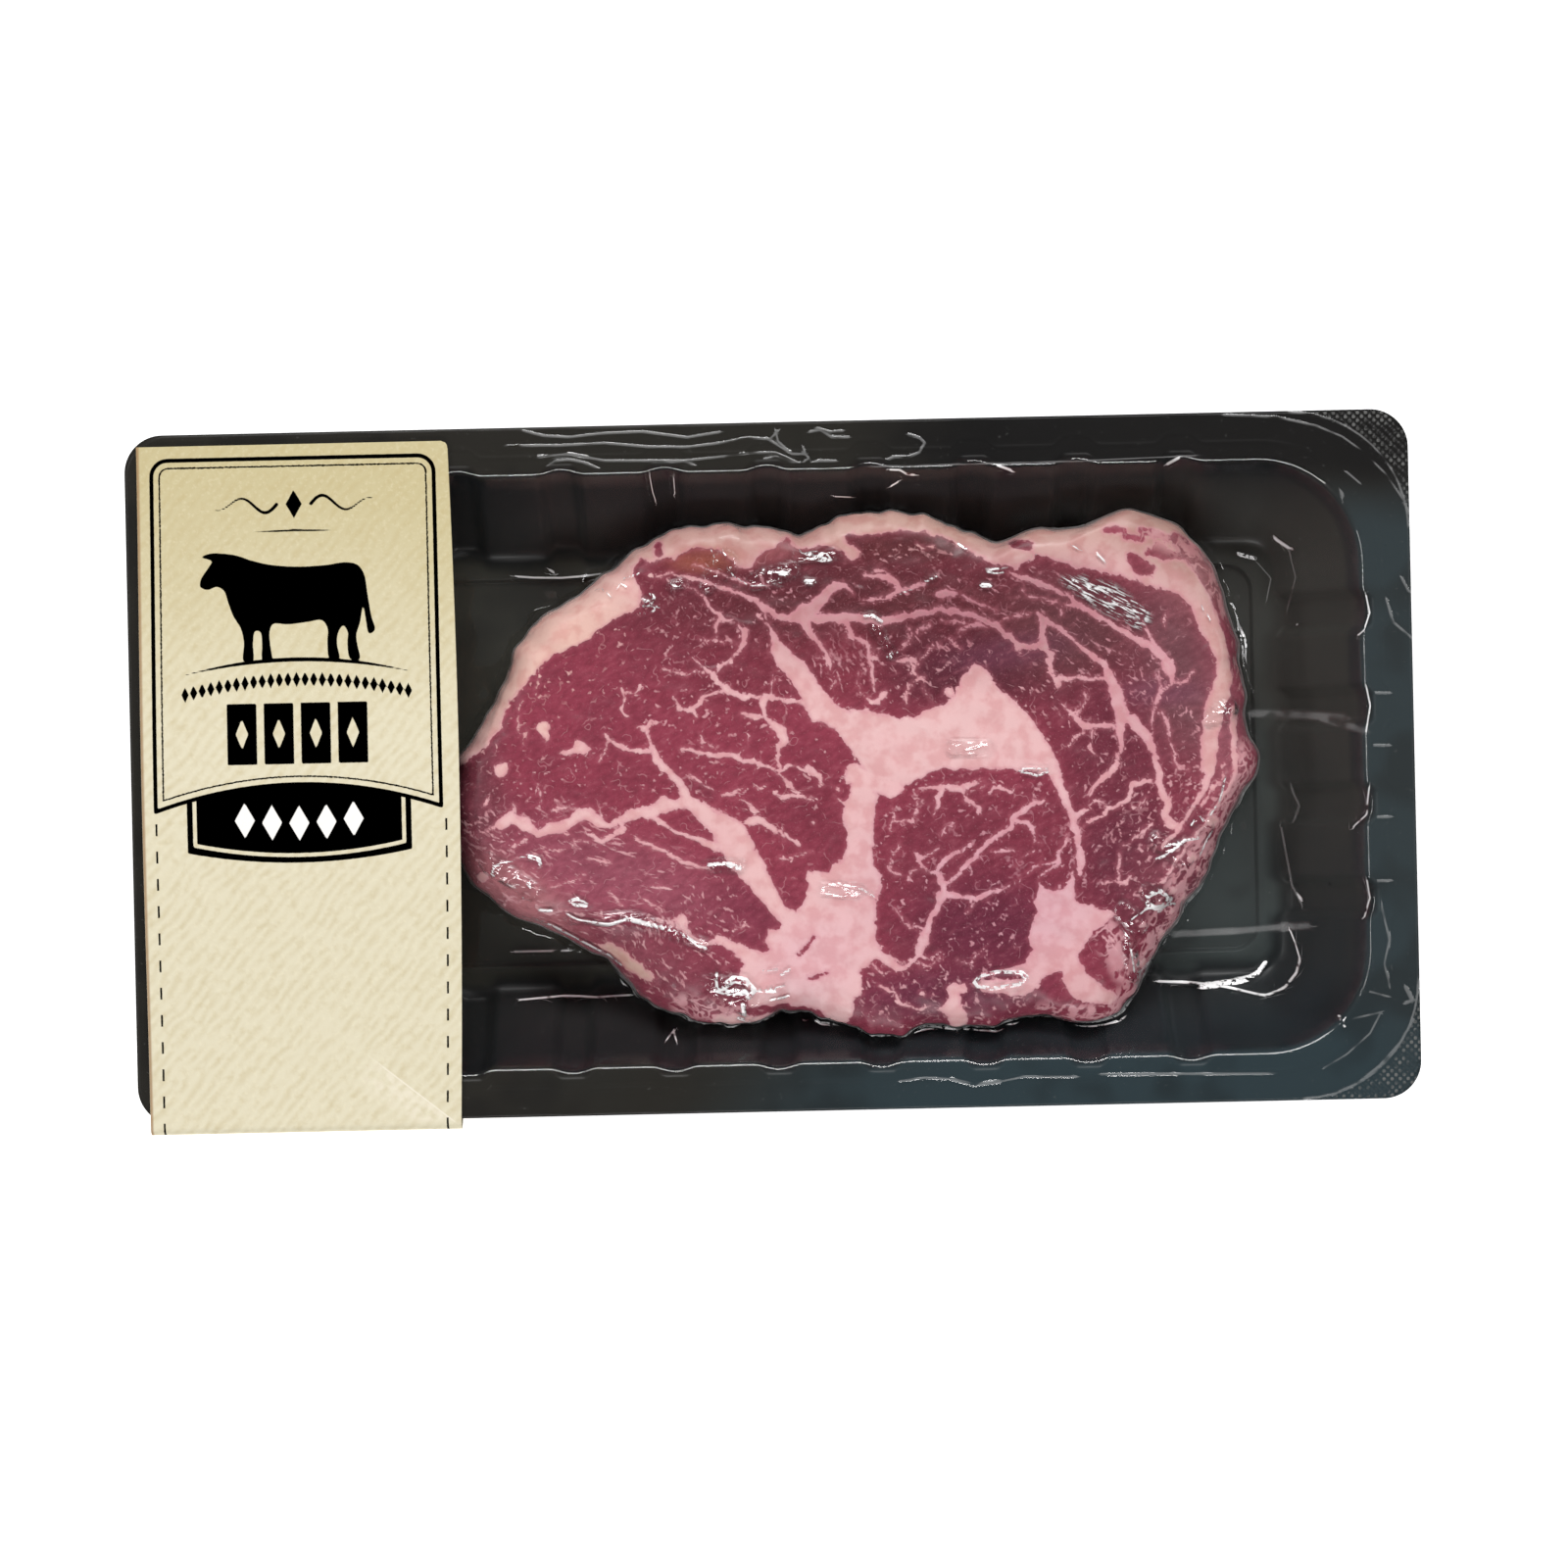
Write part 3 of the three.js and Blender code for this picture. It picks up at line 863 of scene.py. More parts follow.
@dataclass
class SteakForm:
    """The steak's solid form, read as sections that turn about its middle."""

    tray: TrayForm
    centre: Array = field(default_factory=lambda: np.array([16.0, -2.0]))
    ellipse: tuple[float, float] = (86.0, 55.0)
    top: float = 21.5
    gap: float = 0.35
    widest_share: float = 0.3
    roundness: float = 2.2
    tuck: float = 1.8
    under_ramp: float = 6.0
    broad_swell: tuple[float, float, float, float] = (0.5, 107.0, 88.0, 0.6)
    slant_swell: tuple[float, float, float] = (0.35, 145.0, 57.0)
    scallops: tuple[tuple[float, float, float], ...] = ((0.2, 41, 1), (0.15, 59, 2.2), (0.09, 97, 4))
    edge_turns: tuple[float, ...] = (0, 60, 110, 165, 215, 260, 290, 325, 360)
    edge_runs: tuple[float, ...] = (7, 7, 5.5, 8, 15, 9, 8, 15, 7)
    arc_share: float = 0.8
    hollow: tuple[float, float, int] = (0.1, 7.0, 31)
    steps: int = 22

    def __post_init__(self) -> None:
        """Reads the outline as distances by direction from the middle."""
        arm = closed_curve(read_lines(OUTLINE)[0], self.steps) - self.centre
        turn = np.arctan2(arm[:, 1], arm[:, 0])
        order = np.argsort(turn)
        self._turns = turn[order]
        self._radii = np.linalg.norm(arm, axis=1)[order]

    def radius(self, angle: Array) -> Array:
        """Distance to the outline in each direction."""
        scallops = sum(size * np.sin(count * angle + start) for size, count, start in self.scallops)
        return np.interp(angle, self._turns, self._radii, period=FULL_TURN) + scallops

    def edge_run(self, angle: Array) -> Array:
        """How far in from the outline the top starts to fall.

        Args:
            angle: Directions from the middle.

        Returns:
            The run in each, eased from one named direction to the next.
        """
        degrees = np.degrees(angle) % 360.0
        turns, runs = np.array(self.edge_turns, float), np.array(self.edge_runs, float)
        k = np.clip(np.searchsorted(turns, degrees, side="right") - 1, 0, len(turns) - 2)
        return runs[k] + (runs[k + 1] - runs[k]) * ease((degrees - turns[k]) / (turns[k + 1] - turns[k]))

    def cut_face(self, spots: Array) -> Array:
        """Height of the cut face: a broad swell, and a slanting one on top of it.

        Args:
            spots: Places seen from above.

        Returns:
            The heights.
        """
        x, y = FULL_TURN * spots[..., 0], FULL_TURN * spots[..., 1]
        height, long, wide, start = self.broad_swell
        slant, slant_x, slant_y = self.slant_swell
        return (self.top + height * np.sin(x / long + start) * np.cos(y / wide)
                + slant * np.sin(y / slant_y - x / slant_x))

    def underside(self, spots: Array) -> Array:
        """Height of the underside, which lies on the pad, over its edge and up the wall.

        Args:
            spots: Places seen from above.

        Returns:
            The heights.
        """
        tray = self.tray
        floor_half = np.array(tray.pad_half) - tray.pad_step
        inside = tray.box_gap(spots, floor_half, tray.pad_radius - tray.pad_step)
        rise = np.clip(1.0 + inside / self.under_ramp, 0.0, 1.0)
        rest = tray.pad + self.gap + rise * (tray.ledge - tray.pad)
        return np.maximum(rest, tray.clear_height(spots, self.gap))

    def sag(self, spots: Array) -> Array:
        """How far the cut face sinks in soft hollows, which the film over it follows."""
        depth, wavelength, seed = self.hollow
        return depth * (ripple(spots, wavelength, seed) - 1.0)

    def levels(self, angle: Array) -> tuple[Array, Array, Array, Array]:
        """The sizes of the section in each direction.

        Args:
            angle: Directions from the middle.

        Returns:
            The outline's distance, the edge's run, and the heights where the edge starts and is widest.
        """
        radius, run = self.radius(angle), self.edge_run(angle)
        under = self.underside(polar(self.centre, angle, radius))
        crown = self.cut_face(polar(self.centre, angle, radius - run))
        return radius, run, crown, under + self.widest_share * (crown - under)

    def directions(self, columns: int, rows: int) -> tuple[Array, Array]:
        """A square grid wrapped onto the steak.

        The square is pressed into a disc, ring by ring, and the disc is stretched to the steak's ellipse,
        so that the cells stay nearly square all over.

        Args:
            columns: Cells along X.
            rows: Cells along Y.

        Returns:
            Each point's direction from the middle, and its share of the way to the widest line.
        """
        v, u = np.meshgrid(np.linspace(-1, 1, rows + 1), np.linspace(-1, 1, columns + 1), indexing="ij")
        wide = np.abs(u) > np.abs(v)
        reach = np.where(wide, u, v)
        safe = np.where(reach == 0.0, 1.0, reach)
        turn = np.where(wide, math.pi / 4.0 * v / safe, QUARTER_TURN - math.pi / 4.0 * u / safe)
        x, y = reach * np.cos(turn), reach * np.sin(turn)
        return np.arctan2(self.ellipse[1] * y, self.ellipse[0] * x), np.abs(reach)

    def dome(self, columns: int, rows: int) -> tuple[Array, Array]:
        """The cut face and the edge down to the widest line, as a grid of points.

        Up to the edge's start the height is the cut face's. From there to the widest line the section is a
        quarter of a superellipse, taken by its own angle so that the steep part has as many points.

        Args:
            columns: Cells along X.
            rows: Cells along Y.

        Returns:
            The points, and each point's direction from the middle.
        """
        angle, share = self.directions(columns, rows)
        radius, run, crown, widest = self.levels(angle)
        flat = radius - run
        arc = self.arc_share * (run + crown - widest)
        split = flat / (flat + arc)
        turn = np.clip((share - split) / (1.0 - split), 0.0, 1.0) * QUARTER_TURN
        power = 2.0 / self.roundness
        out = flat + run * np.sin(turn) ** power
        on_top = share < split
        spots = polar(self.centre, angle, np.where(on_top, flat * share / split, out))
        edge = widest + (crown - widest) * np.clip(np.cos(turn), 0.0, 1.0) ** power
        return on_height(spots, np.where(on_top, self.cut_face(spots), edge)), angle


def border(rows: int, columns: int) -> NDArray[np.int64]:
    """The outer points of a grid with this many points each way, anticlockwise from the lower left."""
    number = np.arange(rows * columns).reshape(rows, columns)
    return np.concatenate([number[0], number[1:, -1], number[-1, -2::-1], number[-2:0:-1, 0]])


# The marbling, drawn on the cut face in millimetres


FAT_AREAS = """
-65.5,2 -60.5,5.5 -57.5,9 -55,15 -46.5,24 -38.5,27.2 -36,29.5 -33,31.5 -27,34.2 -26.8,38.5 -28.5,40.5
-28.5,42.5 -27,44.5 -24,43.5 -22,44.2 -19.5,44 -18.5,45.2 -16,46.3 -13,46.2 -10.5,45.8 -8.5,44.5 -6.5,42
-5,41.5 -3.5,42 -1.5,45 1.5,46 4,48.5 5,46.8 6.5,45.8 11.5,46.2 14,45.6 16,44.5 17.5,42.8 19,43.5 19.5,45
16.5,47.2 16,48 18,48.6 21,48.3 26,48.9 30,49 33,48.5 38.5,47 40,45.7 48,41.2 52,40.8 55.5,42.3 56,43.6
60,42 62.5,41.5 64,40.5 70,39.5 84,35 86.5,34 88.5,32.5 89.5,28.5 93.5,21 94.5,18 130,18 130,90 -90,90
-90,2; .2,28.5 8,20.8 12,14 14.8,11.9 19.5,11.6 27,9.6 30,10 33,11.6 36,12.3 38.5,14 40.3,18.5 41.8,20.2
43.5,20.6 45.3,20.2 47.5,16.2 53,11 55.5,8 57.5,5 60.5,-1 57,-2.6 50,-1.7 36,-1.3 33.5,-1.7 29,-4.2
23.5,-5.5 22,-6.5 17,2.5 13,7.8 11,8.8 8,9.5 7.5,11 7.5,13 5.5,15.5 4,18.5 1.5,21 0,24; 18.3,.2 16.3,-3.5
16,-6 14.6,-7.8 14.3,-11 15,-14 15,-17.5 14,-19.5 12.2,-20.7 11.5,-22.3 6.5,-21.8 6.2,-23.5 6.8,-25.5
6,-28.5 0,-34 -1.5,-34.5 -2.5,-36.8 -1.5,-38.3 -2.5,-39.3 -4,-39.5 -5,-38.5 -7.5,-37.8 -9,-39.5 -8,-40
-7,-41.5 -8.5,-43.5 -7,-45.5 -6,-50.5 2,-50.5 8.5,-51.7 11,-55 14,-57 16.2,-51 16.2,-49 17.8,-48
17.5,-42.8 19.8,-42.3 20.5,-41 27,-42 22.5,-39.3 21,-37.5 21.2,-28.5 22.2,-26.5 22.6,-23.8 21,-21.5
20.7,-19.5 21.3,-10 22,-6.5; 55.4,-24.6 56.5,-26.8 59,-27.5 61,-26 62.7,-22.9 63.2,-29.5 71.8,-32.6
68.5,-34.8 66,-37 65,-39.5 63.4,-40.5 63.7,-43 69,-48 71,-49 72.5,-50.5 70,-52 63,-50.5 61,-49 60,-46.5
59.8,-44.3 57.5,-44.8 55.5,-46 54,-48.2 52,-49.6 43,-48.2 41.5,-46.6 43,-44.5 51.5,-42.8 52.5,-41.5
53.8,-39.5 52.6,-37.2 54.8,-31.5 54.3,-29.3 55.2,-27; 35.5,-46.8 37,-46.3 39.5,-46.5 40,-47.8 38.5,-48.8
38.5,-51 40,-53 40,-57 37,-57 35,-52.8 33,-52 35,-50.8 36,-49; -38.3,-36.8 -35.8,-36.3 -33.5,-37.2
-28,-41.5 -25.5,-44.2 -27,-45.2 -32,-42.5 -35,-39.5; -45.2,3.8 -42,5 -40.8,7 -38,4.5 -40,3.6 -43,3.4;
-14,-52 -9,-51.8 -4,-52.5 0,-52 0,-56 -14,-56;
"""

SEAMS = """
4.5 17,-2 25,-5; -2.5,32,.4 0,29.5,.8 1.5,26,1.6 3.5,22.5,3.2 6.5,19,4 9.5,13,5.5 13,10.5,5; -3,35,1.2
1,32,1.5 4,31,1.6 7,32,4 9,33,3 14,38,1.8 16,38,1 17.5,36,.5; 9,31,2 18,31,2 23,30,1.8 36,32.3,1.2
41,31.5,1.2 48,28.5,1.4 51,25.5,1.3 53,24,1.2 57,24,1.4 59,22.5,1.4 58.5,19.5,1 59.5,17,1 60.5,15.8,1.3;
7.5,30,2 8.5,27.5,1.2 10.5,26,.8 12.5,21.5,1; 4 8,32; 16,30.5,1 17,27,1.2 19,26.5,.6 20.5,25,.8
21.5,17,.7; .7 21,22.5 22.5,22.5; .7 21.5,17.5 21.8,15.5; 19.5,14.5,.4 21,13.3,.9 22.5,13.2,1.3
23.8,14.8,1.5; 9.3,22.8,.3 11.3,22.8,.5 12.8,21.5,.7 12.3,20,.4; .4 13,17 14,18.5; .4 18.5,20 18.3,17
18.6,15; -21,-1,1.2 -19.3,-3.5,1.8 -18.3,-6.5,2.8 -12,-11.5,5 -9.2,-14,7 -7.8,-17,7 .8,-30.3,3.2 6,-35,6;
-58.8,-12,.8 -57.5,-10.8,2.5 -55,-9.5,2.5 -52,-11.3,2.5 -50,-13,1.5 -47,-12,2.5 -44,-11.5,2.5 -41,-9.3,2.5
-39.5,-8.8,2.5 -37,-10.8,2 -34.5,-11.8,1 -30.5,-9.5,2.5 -28,-9,2 -25.5,-9,3 -23,-7.5,3.5 -20,-7.5,2
-18.5,-7,3; 64,45,5 70,43,5 80,38.5,4 86,37,4 90,33.5,4.5 92.5,29,5 96,20,4 95,15,4 93,10,4.5 92,4,4
91.5,-2,3.5 92,-3,2 90.5,-6.5,1.2 88.5,-10,1 85,-15,1 81.5,-18.5,.8; 21,-39.3,1.5 23,-41.5,1.5
25.5,-43,1.6 27.5,-42.5,1.2 29.5,-40.5,1.2 30.7,-37.5,2.6 32.8,-32,1.3 34.5,-29.5,1.4 35,-27.5,2.4
35.3,-25.8,1.6 34,-22.8,1.2 35,-21,1.2 37,-19.5,.9 41.5,-17.3,.4; 35.3,-25.8,1.2 37.5,-24.3,.9
44.5,-17.3,1 47,-15.3,1.2 49.5,-14.2,1.3 50.3,-12,1.2 52,-10.5,1 54.5,-9,1 57,-8.3,.7; 57,-.5,2.5
59,-2,2.5 62.8,-12,1.5 64,-18,1.4 64.3,-21,1.8 64,-24,1; -25,-31.5,.8 -19.5,-33.5,1.5 -17,-36,1
-15,-37.2,.7 -12.5,-35.8,1.5 -3,-40.5,3; 3 -57.3,.5; -48,9.2,3 -47.3,6.5,.6; 2.6 -62,-22; 3 -20,-32;
"""

UPPER_LEFT_VEINS = """
-25,40.5,.6 -20,41,.7 -14,39.5,.8 -5,36,.8 -2.5,35.3,1.2; .5 -15.5,43 -4,38.3 0,38.3; -17.5,38.5,.4
-14,36.5,.5 -12.5,34,.7 -10.5,32,1.3 -9.5,31,1 -7.5,31.2,.4; -10.5,31.5,1 -11.5,29.5,.9 -11.5,28,.4;
-6.5,29.8,.6 -5.3,28.5,1.3 -5.5,26,1.2 -7,24,.9 -11.5,20.3,.9 -12.5,19.8,1.1 -11,18,1.1 -9.5,16.8,1.6; .5
-15,27 -11,26.8 -7,26; -16.5,23.3,.4 -12.5,19.8,1; .6 -22.5,21.2 -20,20 -17,20 -15.5,20.5 -12.5,19.9;
-9.5,16.8,1.8 -8,15.5,1.3 -5,14.8,1.1 0,14.6,1.3 3,13.8,1 5.5,13.6,1 7,13,1.5; -9.5,16.5,1 -12,15.6,.6
-14,15.3,.8 -15.5,13.3,1.2 -17.5,12.2,1.3 -19.5,12.5,.8 -20.3,15,.4; .7 -17,12 -15.7,11; -1.5,14.5,1.5
-1.8,12.5,1.1 -1.5,10.8,1 0,9,1.3 1.8,7.5,2.6 2.5,5.8,2.2 1.3,3.5,.8 1,1,.8 1.5,-1,.8; -6.5,11.3,.4
-4.5,11,1.3 -3,10.3,1 -1.5,10.5,.4; .4 0,15 0,18 .5,19.5 2.5,20; -19,4.3,.8 -13,2.8,1.1 -9,2.8,1.3
-6,1.5,1 -1,.1,.7 1.5,-1,.8 3,.3,.8 5.5,-.2,.7 10,-2.5,1; -25,5,1 -24.5,2,2 -20.5,-2,1.8; .4 -15,7.5
-14.8,5.5 -12,4; .3 -5,6.5 -5.3,4.5 -6.8,3; .9 -35,7 -32.5,5.2 -30,4.2 -26,3.8 -25,5; .4 -36.5,2 -34.8,4.5
-34.8,6.5; -28,9,.5 -26.5,8.5,1.6 -25.5,10,.6 -24,9.8,.5; -26.5,8.5,1 -25.5,5.5,.5; .3 -48.5,22 -49.5,16;
.4 -52.5,15 -53.5,11 -53,8.5; .6 -51.8,9 -52.2,6; -31.5,17.2,.8 -30.8,15.5,.6 -31.3,12.8,.8 -30.5,11.3,1;
.5 -31,16.3 -28.5,16.2 -27.3,17.8;
"""

LOWER_LEFT_VEINS = """
-32,-11.3,1 -31.5,-12.2,1.5 -36.5,-15,1.2 -40,-12.8,.5; -54.8,-6.5,.4 -54.5,-8.2,.8; .5 -49.2,-3
-48.9,-6.2; -60,-5.2,.3 -60.5,-6.5,1; -46.8,-8.2,.8 -42.2,-7.2,.4; .5 -36.5,-7 -36.7,-8.2 -36,-10; .5
-55.2,-15.8 -51.7,-14.1; .5 -47.5,-16.5 -45,-16.6 -43.2,-16 -42,-14.8 -42.8,-13.8 -44,-13.1; .5 -42,-14.8
-40.5,-14.5 -39,-15; .6 -39.5,-18.5 -34.7,-19.3; -29.2,-14.5,.4 -27,-15.6,.9 -22.5,-17.6,.9 -20,-19.3,1
-17.5,-20.3,.9 -13.5,-21.2,.6; .5 -47.3,-24.5 -45,-23.6 -42.5,-23.3 -41.8,-22 -40,-22; .5 -34.8,-25.5
-32.5,-28.5; .4 -27.8,-27 -26,-28.8 -24,-28.5; .5 -26.2,-24.5 -22,-25.3; .8 -58,-28.2 -56,-26.2;
-50.5,-28.2,.8 -48,-30,1 -44,-29.5,.5; .8 -42.5,-30 -40.5,-30.5; .7 -37,-30 -36.3,-32; -25,-10.5,1.2
-20,-13.5,.8 -17,-14.5,1 -12.5,-16.5,2.5; -17.5,-1.5,.8 -12.5,-4.8,.4; -10.5,-5.8,.8 -8,-5.3,1.1
-6.5,-4.3,.6; -7,-6.8,.4 -5.3,-7.5,.5 -4.3,-9.3,1.6 -3,-9,.5; .5 -3.5,-4.3 -1.3,-3.8; -5,-11.5,2
-3.5,-10.8,1.8 5,-16.4,.6; 0,-5.5,.5 2,-6.5,.9 4.5,-6,.8 9,-7.4,.4; .4 3.8,-5.8 8,-4.4; .7 1.3,-1.5 3,-3.3
4.3,-5.3; 7,0,.8 9.5,-2.3,1.2 10,-4,.8; 12,-4,.3 13.8,-5,.8; 12.8,-6.5,.3 14.8,-8,.8; 1,-19.3,.5
3.5,-19.3,.7 8,-17.9,.3; .8 8.3,-12; .5 -9,-34.5 -7,-33.3 -5,-33.8;
"""

LOWER_MIDDLE_VEINS = """
50.3,-12.3,1 52.5,-12.8,1 54.3,-13.8,.8 54.8,-17,.5 56,-17.3,.3; 34,-22.8,1 32,-22.8,.8 30.5,-21,.9
30.3,-19.5,.8 29.3,-18.5,.4; .5 30.5,-21.8 29,-22.5 27.8,-24.3; .5 30.5,-20 32.5,-19.3 34.5,-17.8;
35,-27.3,2 40,-28.3,1 42.3,-28.6,1.1 51.5,-25.1,.3; 42.3,-29,.8 40,-31.5,.3; .4 25,-30.3 26.5,-32.5
28.5,-34.5 30.5,-34.5; .5 24.8,-9.3 25.5,-11 24.3,-13.8; 25.5,-12,.6 29.5,-12.1,.8 30.3,-7.8,.4; .5
26.3,-17 24.3,-20 23.9,-21.5 24.8,-22.8 26.3,-23.3; 31.5,-5.3,.6 35,-4.9,1 37.5,-5.3,1.8 39.3,-5.3,1.6
44,-4,.3; 35.8,-5.5,1.2 34.5,-7.3,1.4 34.5,-9.5,.7 33.5,-10.8,.3; 40,-5.5,1 40.3,-7.8,.7 43.3,-9.5,.9
43.3,-10.8,.4; .3 40.8,-6.5 44.8,-4.9; 45.5,-6.5,.5 46.3,-5.3,.7 50.3,-6.3,.9 51.3,-5,.3; .5 35,-15
36,-13.8 37.8,-12.8; 45.3,-18.8,.3 48.5,-18.8,.8 50.3,-18.6,.3; 53.3,-23.3,.6 55,-22,.4 59.5,-21.3,.8
59.8,-19.3,.7 61,-17.5,.4 61.4,-15.3,.4; .5 56,-23.8 59.8,-21.8; .3 51.3,-21.5 52,-20.3 54.3,-18.8; .5
29.5,-40.8 32,-41 34.5,-40; .4 29.5,-42 32.3,-42.6 34.3,-41; .4 38,-41.5 40.5,-42.3 43.4,-39.3;
21,-46.5,.4 23,-47.5,.8 24.8,-48,.5 25.5,-50,.6 27.5,-51.3,.5 30,-51.8,.5 32,-51.1,.3; 1.4 30.3,-48.5; .5
20,-42 22,-44;
"""

UPPER_RIGHT_VEINS = """
20,39.8,.6 25,39.5,1.4 27,37.8,1.5 27.5,36.5,1.2 25,35.3,1 20,34.3,.6; .97 27.5,36.5 32.5,37.8; .7
22.5,40.8 24.3,41; .5 31.5,46.3 32.5,45.3 34.5,45.5; 36,35.5,2 38.5,35.8,1 40,35.5,.5 42.5,34,.6
48,31.8,.3; 39.5,27.5,.5 43,29,1 45.5,28.3,.3; .4 36.3,30 43,29; .5 38.3,26 38.5,24.5 40,24; .7 33.5,28.9
31.3,28.3 30.8,27.5; .5 29.3,28.5 29.8,27 27.5,24; 25.5,21.3,.4 27.5,21.8,.9 30,21.8,1 30.8,21,.8
33.5,24,.4 36,25,.3; .7 30.5,20.8 30.3,19.3 29,18.5; .7 30.3,19.3 30.8,18 29.3,16.5 28.3,14.5 28.3,12.8;
.6 30.8,18.2 32.3,18.3; .4 32.3,17.5 32,16 32.8,14 33.8,12.8; 2.2 37.3,14.8; 50.5,39.5,.6 54,38.5,1.3
62.5,34.7,.9 65,32.5,1 71,29,1.2 74.5,26.5,1.4 80,23.5,1.6 82,21.5,1.6 83.3,19,2 84.3,17,1.2 84,15.5,.8
81.5,13.5,.8 80,9,.7 79.8,6.5,.5; 79,27.5,.8 80.5,24.5,1 84.5,19.8,1.2 84.5,17,1; .6 84,15.5 87.5,16.3
88.8,18; 82,10,.6 83.3,6.5,.8 83.5,4,.6 84.5,1.5,.6 84.5,-.5,.4 85.3,-2.5,.4 87.3,-2.3,.3; 83.3,30.8,.7
82.8,27.8,.3; .5 80.5,18 81.8,16.8 81.8,14; 56,31.3,.6 57.5,29.8,1.6 57.5,28,1.4 57,26,.9 58,24.5,1.2;
58,29.5,1.4 60,28.5,.9 65.5,23.5,1 70.3,20,1.4 71.3,17,2.2 72.3,15.5,2.8 72.8,12,2.8 73.8,9.5,3.2 73.3,7,2
73.3,4.5,1.2 73.5,3,1.2 72.3,-.5,1 72,-1.5,1.8 69.5,-4,1.2 67.5,-5.5,1 66.5,-7.5,.6; 74,9,2.5 75.5,8.5,2.5
79.3,4,1.8 80.8,-1,1.5 81.5,-7,1.4 83,-9.5,1.8 82,-12,1.6 83.5,-14,1.6 85,-14.3,1.2; 60,17,1.6
62.5,17.3,.9 70.8,17,.8; 61.5,11.8,.5 65,7.8,1.2 66.5,7,1.4 68.5,7.3,1 72,7.1,.8; 64.3,9.8,.9 65.5,11.3,.6
66.3,13,.6 65.8,14.5,.3; .7 65.8,7 65.3,5.5 63.5,4.8 62.5,3; 67.5,7,.8 67.3,4.5,.6 66.5,2.5,.7 68,1,.3;
1.1 51.5,25 52.5,23; .5 49.5,30 54.5,31; .5 53,35.8 55,34.5 60.5,33.4; .6 61.5,30.5 61.3,32 63,32.5
65.5,32; 1.6 97.5,10 97,0;
"""

LOWER_RIGHT_VEINS = """
63.5,-12,1.5 64.5,-11,1 66.5,-10.3,.6; .5 66,-9.5 68,-8.5 69.5,-9.5; 66.5,-13,.8 69,-11.8,.9 70.5,-10.3,1
74.5,-8.8,1 75.5,-5.3,1.2 79.5,-4.6,1.2; .6 72.5,-20 72,-25; 68.3,-26,.4 69.5,-25.5,.5 73.5,-26,.8
74.8,-24.5,.5; 73,-18.3,.4 75,-17.3,.5 77.5,-15.3,.8 79.5,-13.5,.3; .4 74.5,-9 76,-10.3 77.5,-9.5 78,-8;
97.3,0,1.5 97,-5,1 95,-7.5,1.2 90,-15,.8 88,-17,.7 81.5,-26,1; .7 94.5,-1.5 94.5,-4 90,-10; 3 92.5,-13.5;
2.5 88,-21; 1.5 89.5,-23.5; 1.5 91,-21; 2 84,-28; 2 86.5,-29.5; 2.2 81,-31.5; 1.5 84,-32.5; 2.5 82,-37.5;
1.5 77.3,-35; 2.5 77.8,-43.5; 1.5 78,-41; 1.5 93,-20; 1.8 90.8,-27.3; .6 68.5,-37 71.5,-40 73,-43; .5
70,-37 72.5,-40;
"""

# Lean patches that lie in the fat, each a line with its width.
LEAN_ISLANDS = """
71,48.2,1 73,48.4,1.5 75,47.8,1; 1.1 75.4,46.7 78.5,46; 78.5,48,1.6 81,47.2,2 84.5,46.2,1.2; 80,43.2,1.6
83,43.2,2.2 86.5,42.4,1.2; 2.1 85.5,46.4 88,45.6; 87,43.4,2.4 91,41.5,3; 76.3,42.2,2 78,40.3,3.4
80,39.5,2; 44,-45.3,.9 47.5,-45,1.5 51,-45.2,.9; 2 52,46 54.5,45.2; -23.4,47.6,1.4 -23,45.6,1.8;
66,-39.5,3 69,-43,4 71.5,-45.5,2; 66.5,-37.4,1.4 70,-40,1.8 72,-41.8,1; 4.3,-39.8,.4 6.3,-38,1
8.1,-35.8,.4; 6.5,-44.6,.4 8.5,-44.3,.9 10.2,-43.5,.4; 81.5,44.3,1.6 84.5,42.6,2.2; .7 -8,-46 -5.5,-47.5;
86,46,2.5 90,42.5,4.5 94,37.5,5.5 97,31,5.2 98.8,24,4.8 99.6,17,4.4 100,8,3.4 99.8,-3,3.2;
"""
# Stretches along the rim where fat and lean lie mixed in small cells, each a line with its width.
MIXED = """
97,-10,7 93,-18,9 88,-26,10 83,-34,9 80,-42,8 76,-49,7; 99.5,2,3 97,-10,7; 80,47,4 88,44.5,5 93,39,6
97,31,4; 69,-36,6 74,-44,7; 56,-53,4 66,-54,5 75,-50,6; -20,-50,5 -8,-52,4;
"""


class Cut(Enum):
    """A muscle's small marks: the spread of their slants, their length's scale and their greatest width."""

    FLECKED = (50.0, 0.28, 0.72)
    GRAINED = (14.0, 0.55, 0.5)


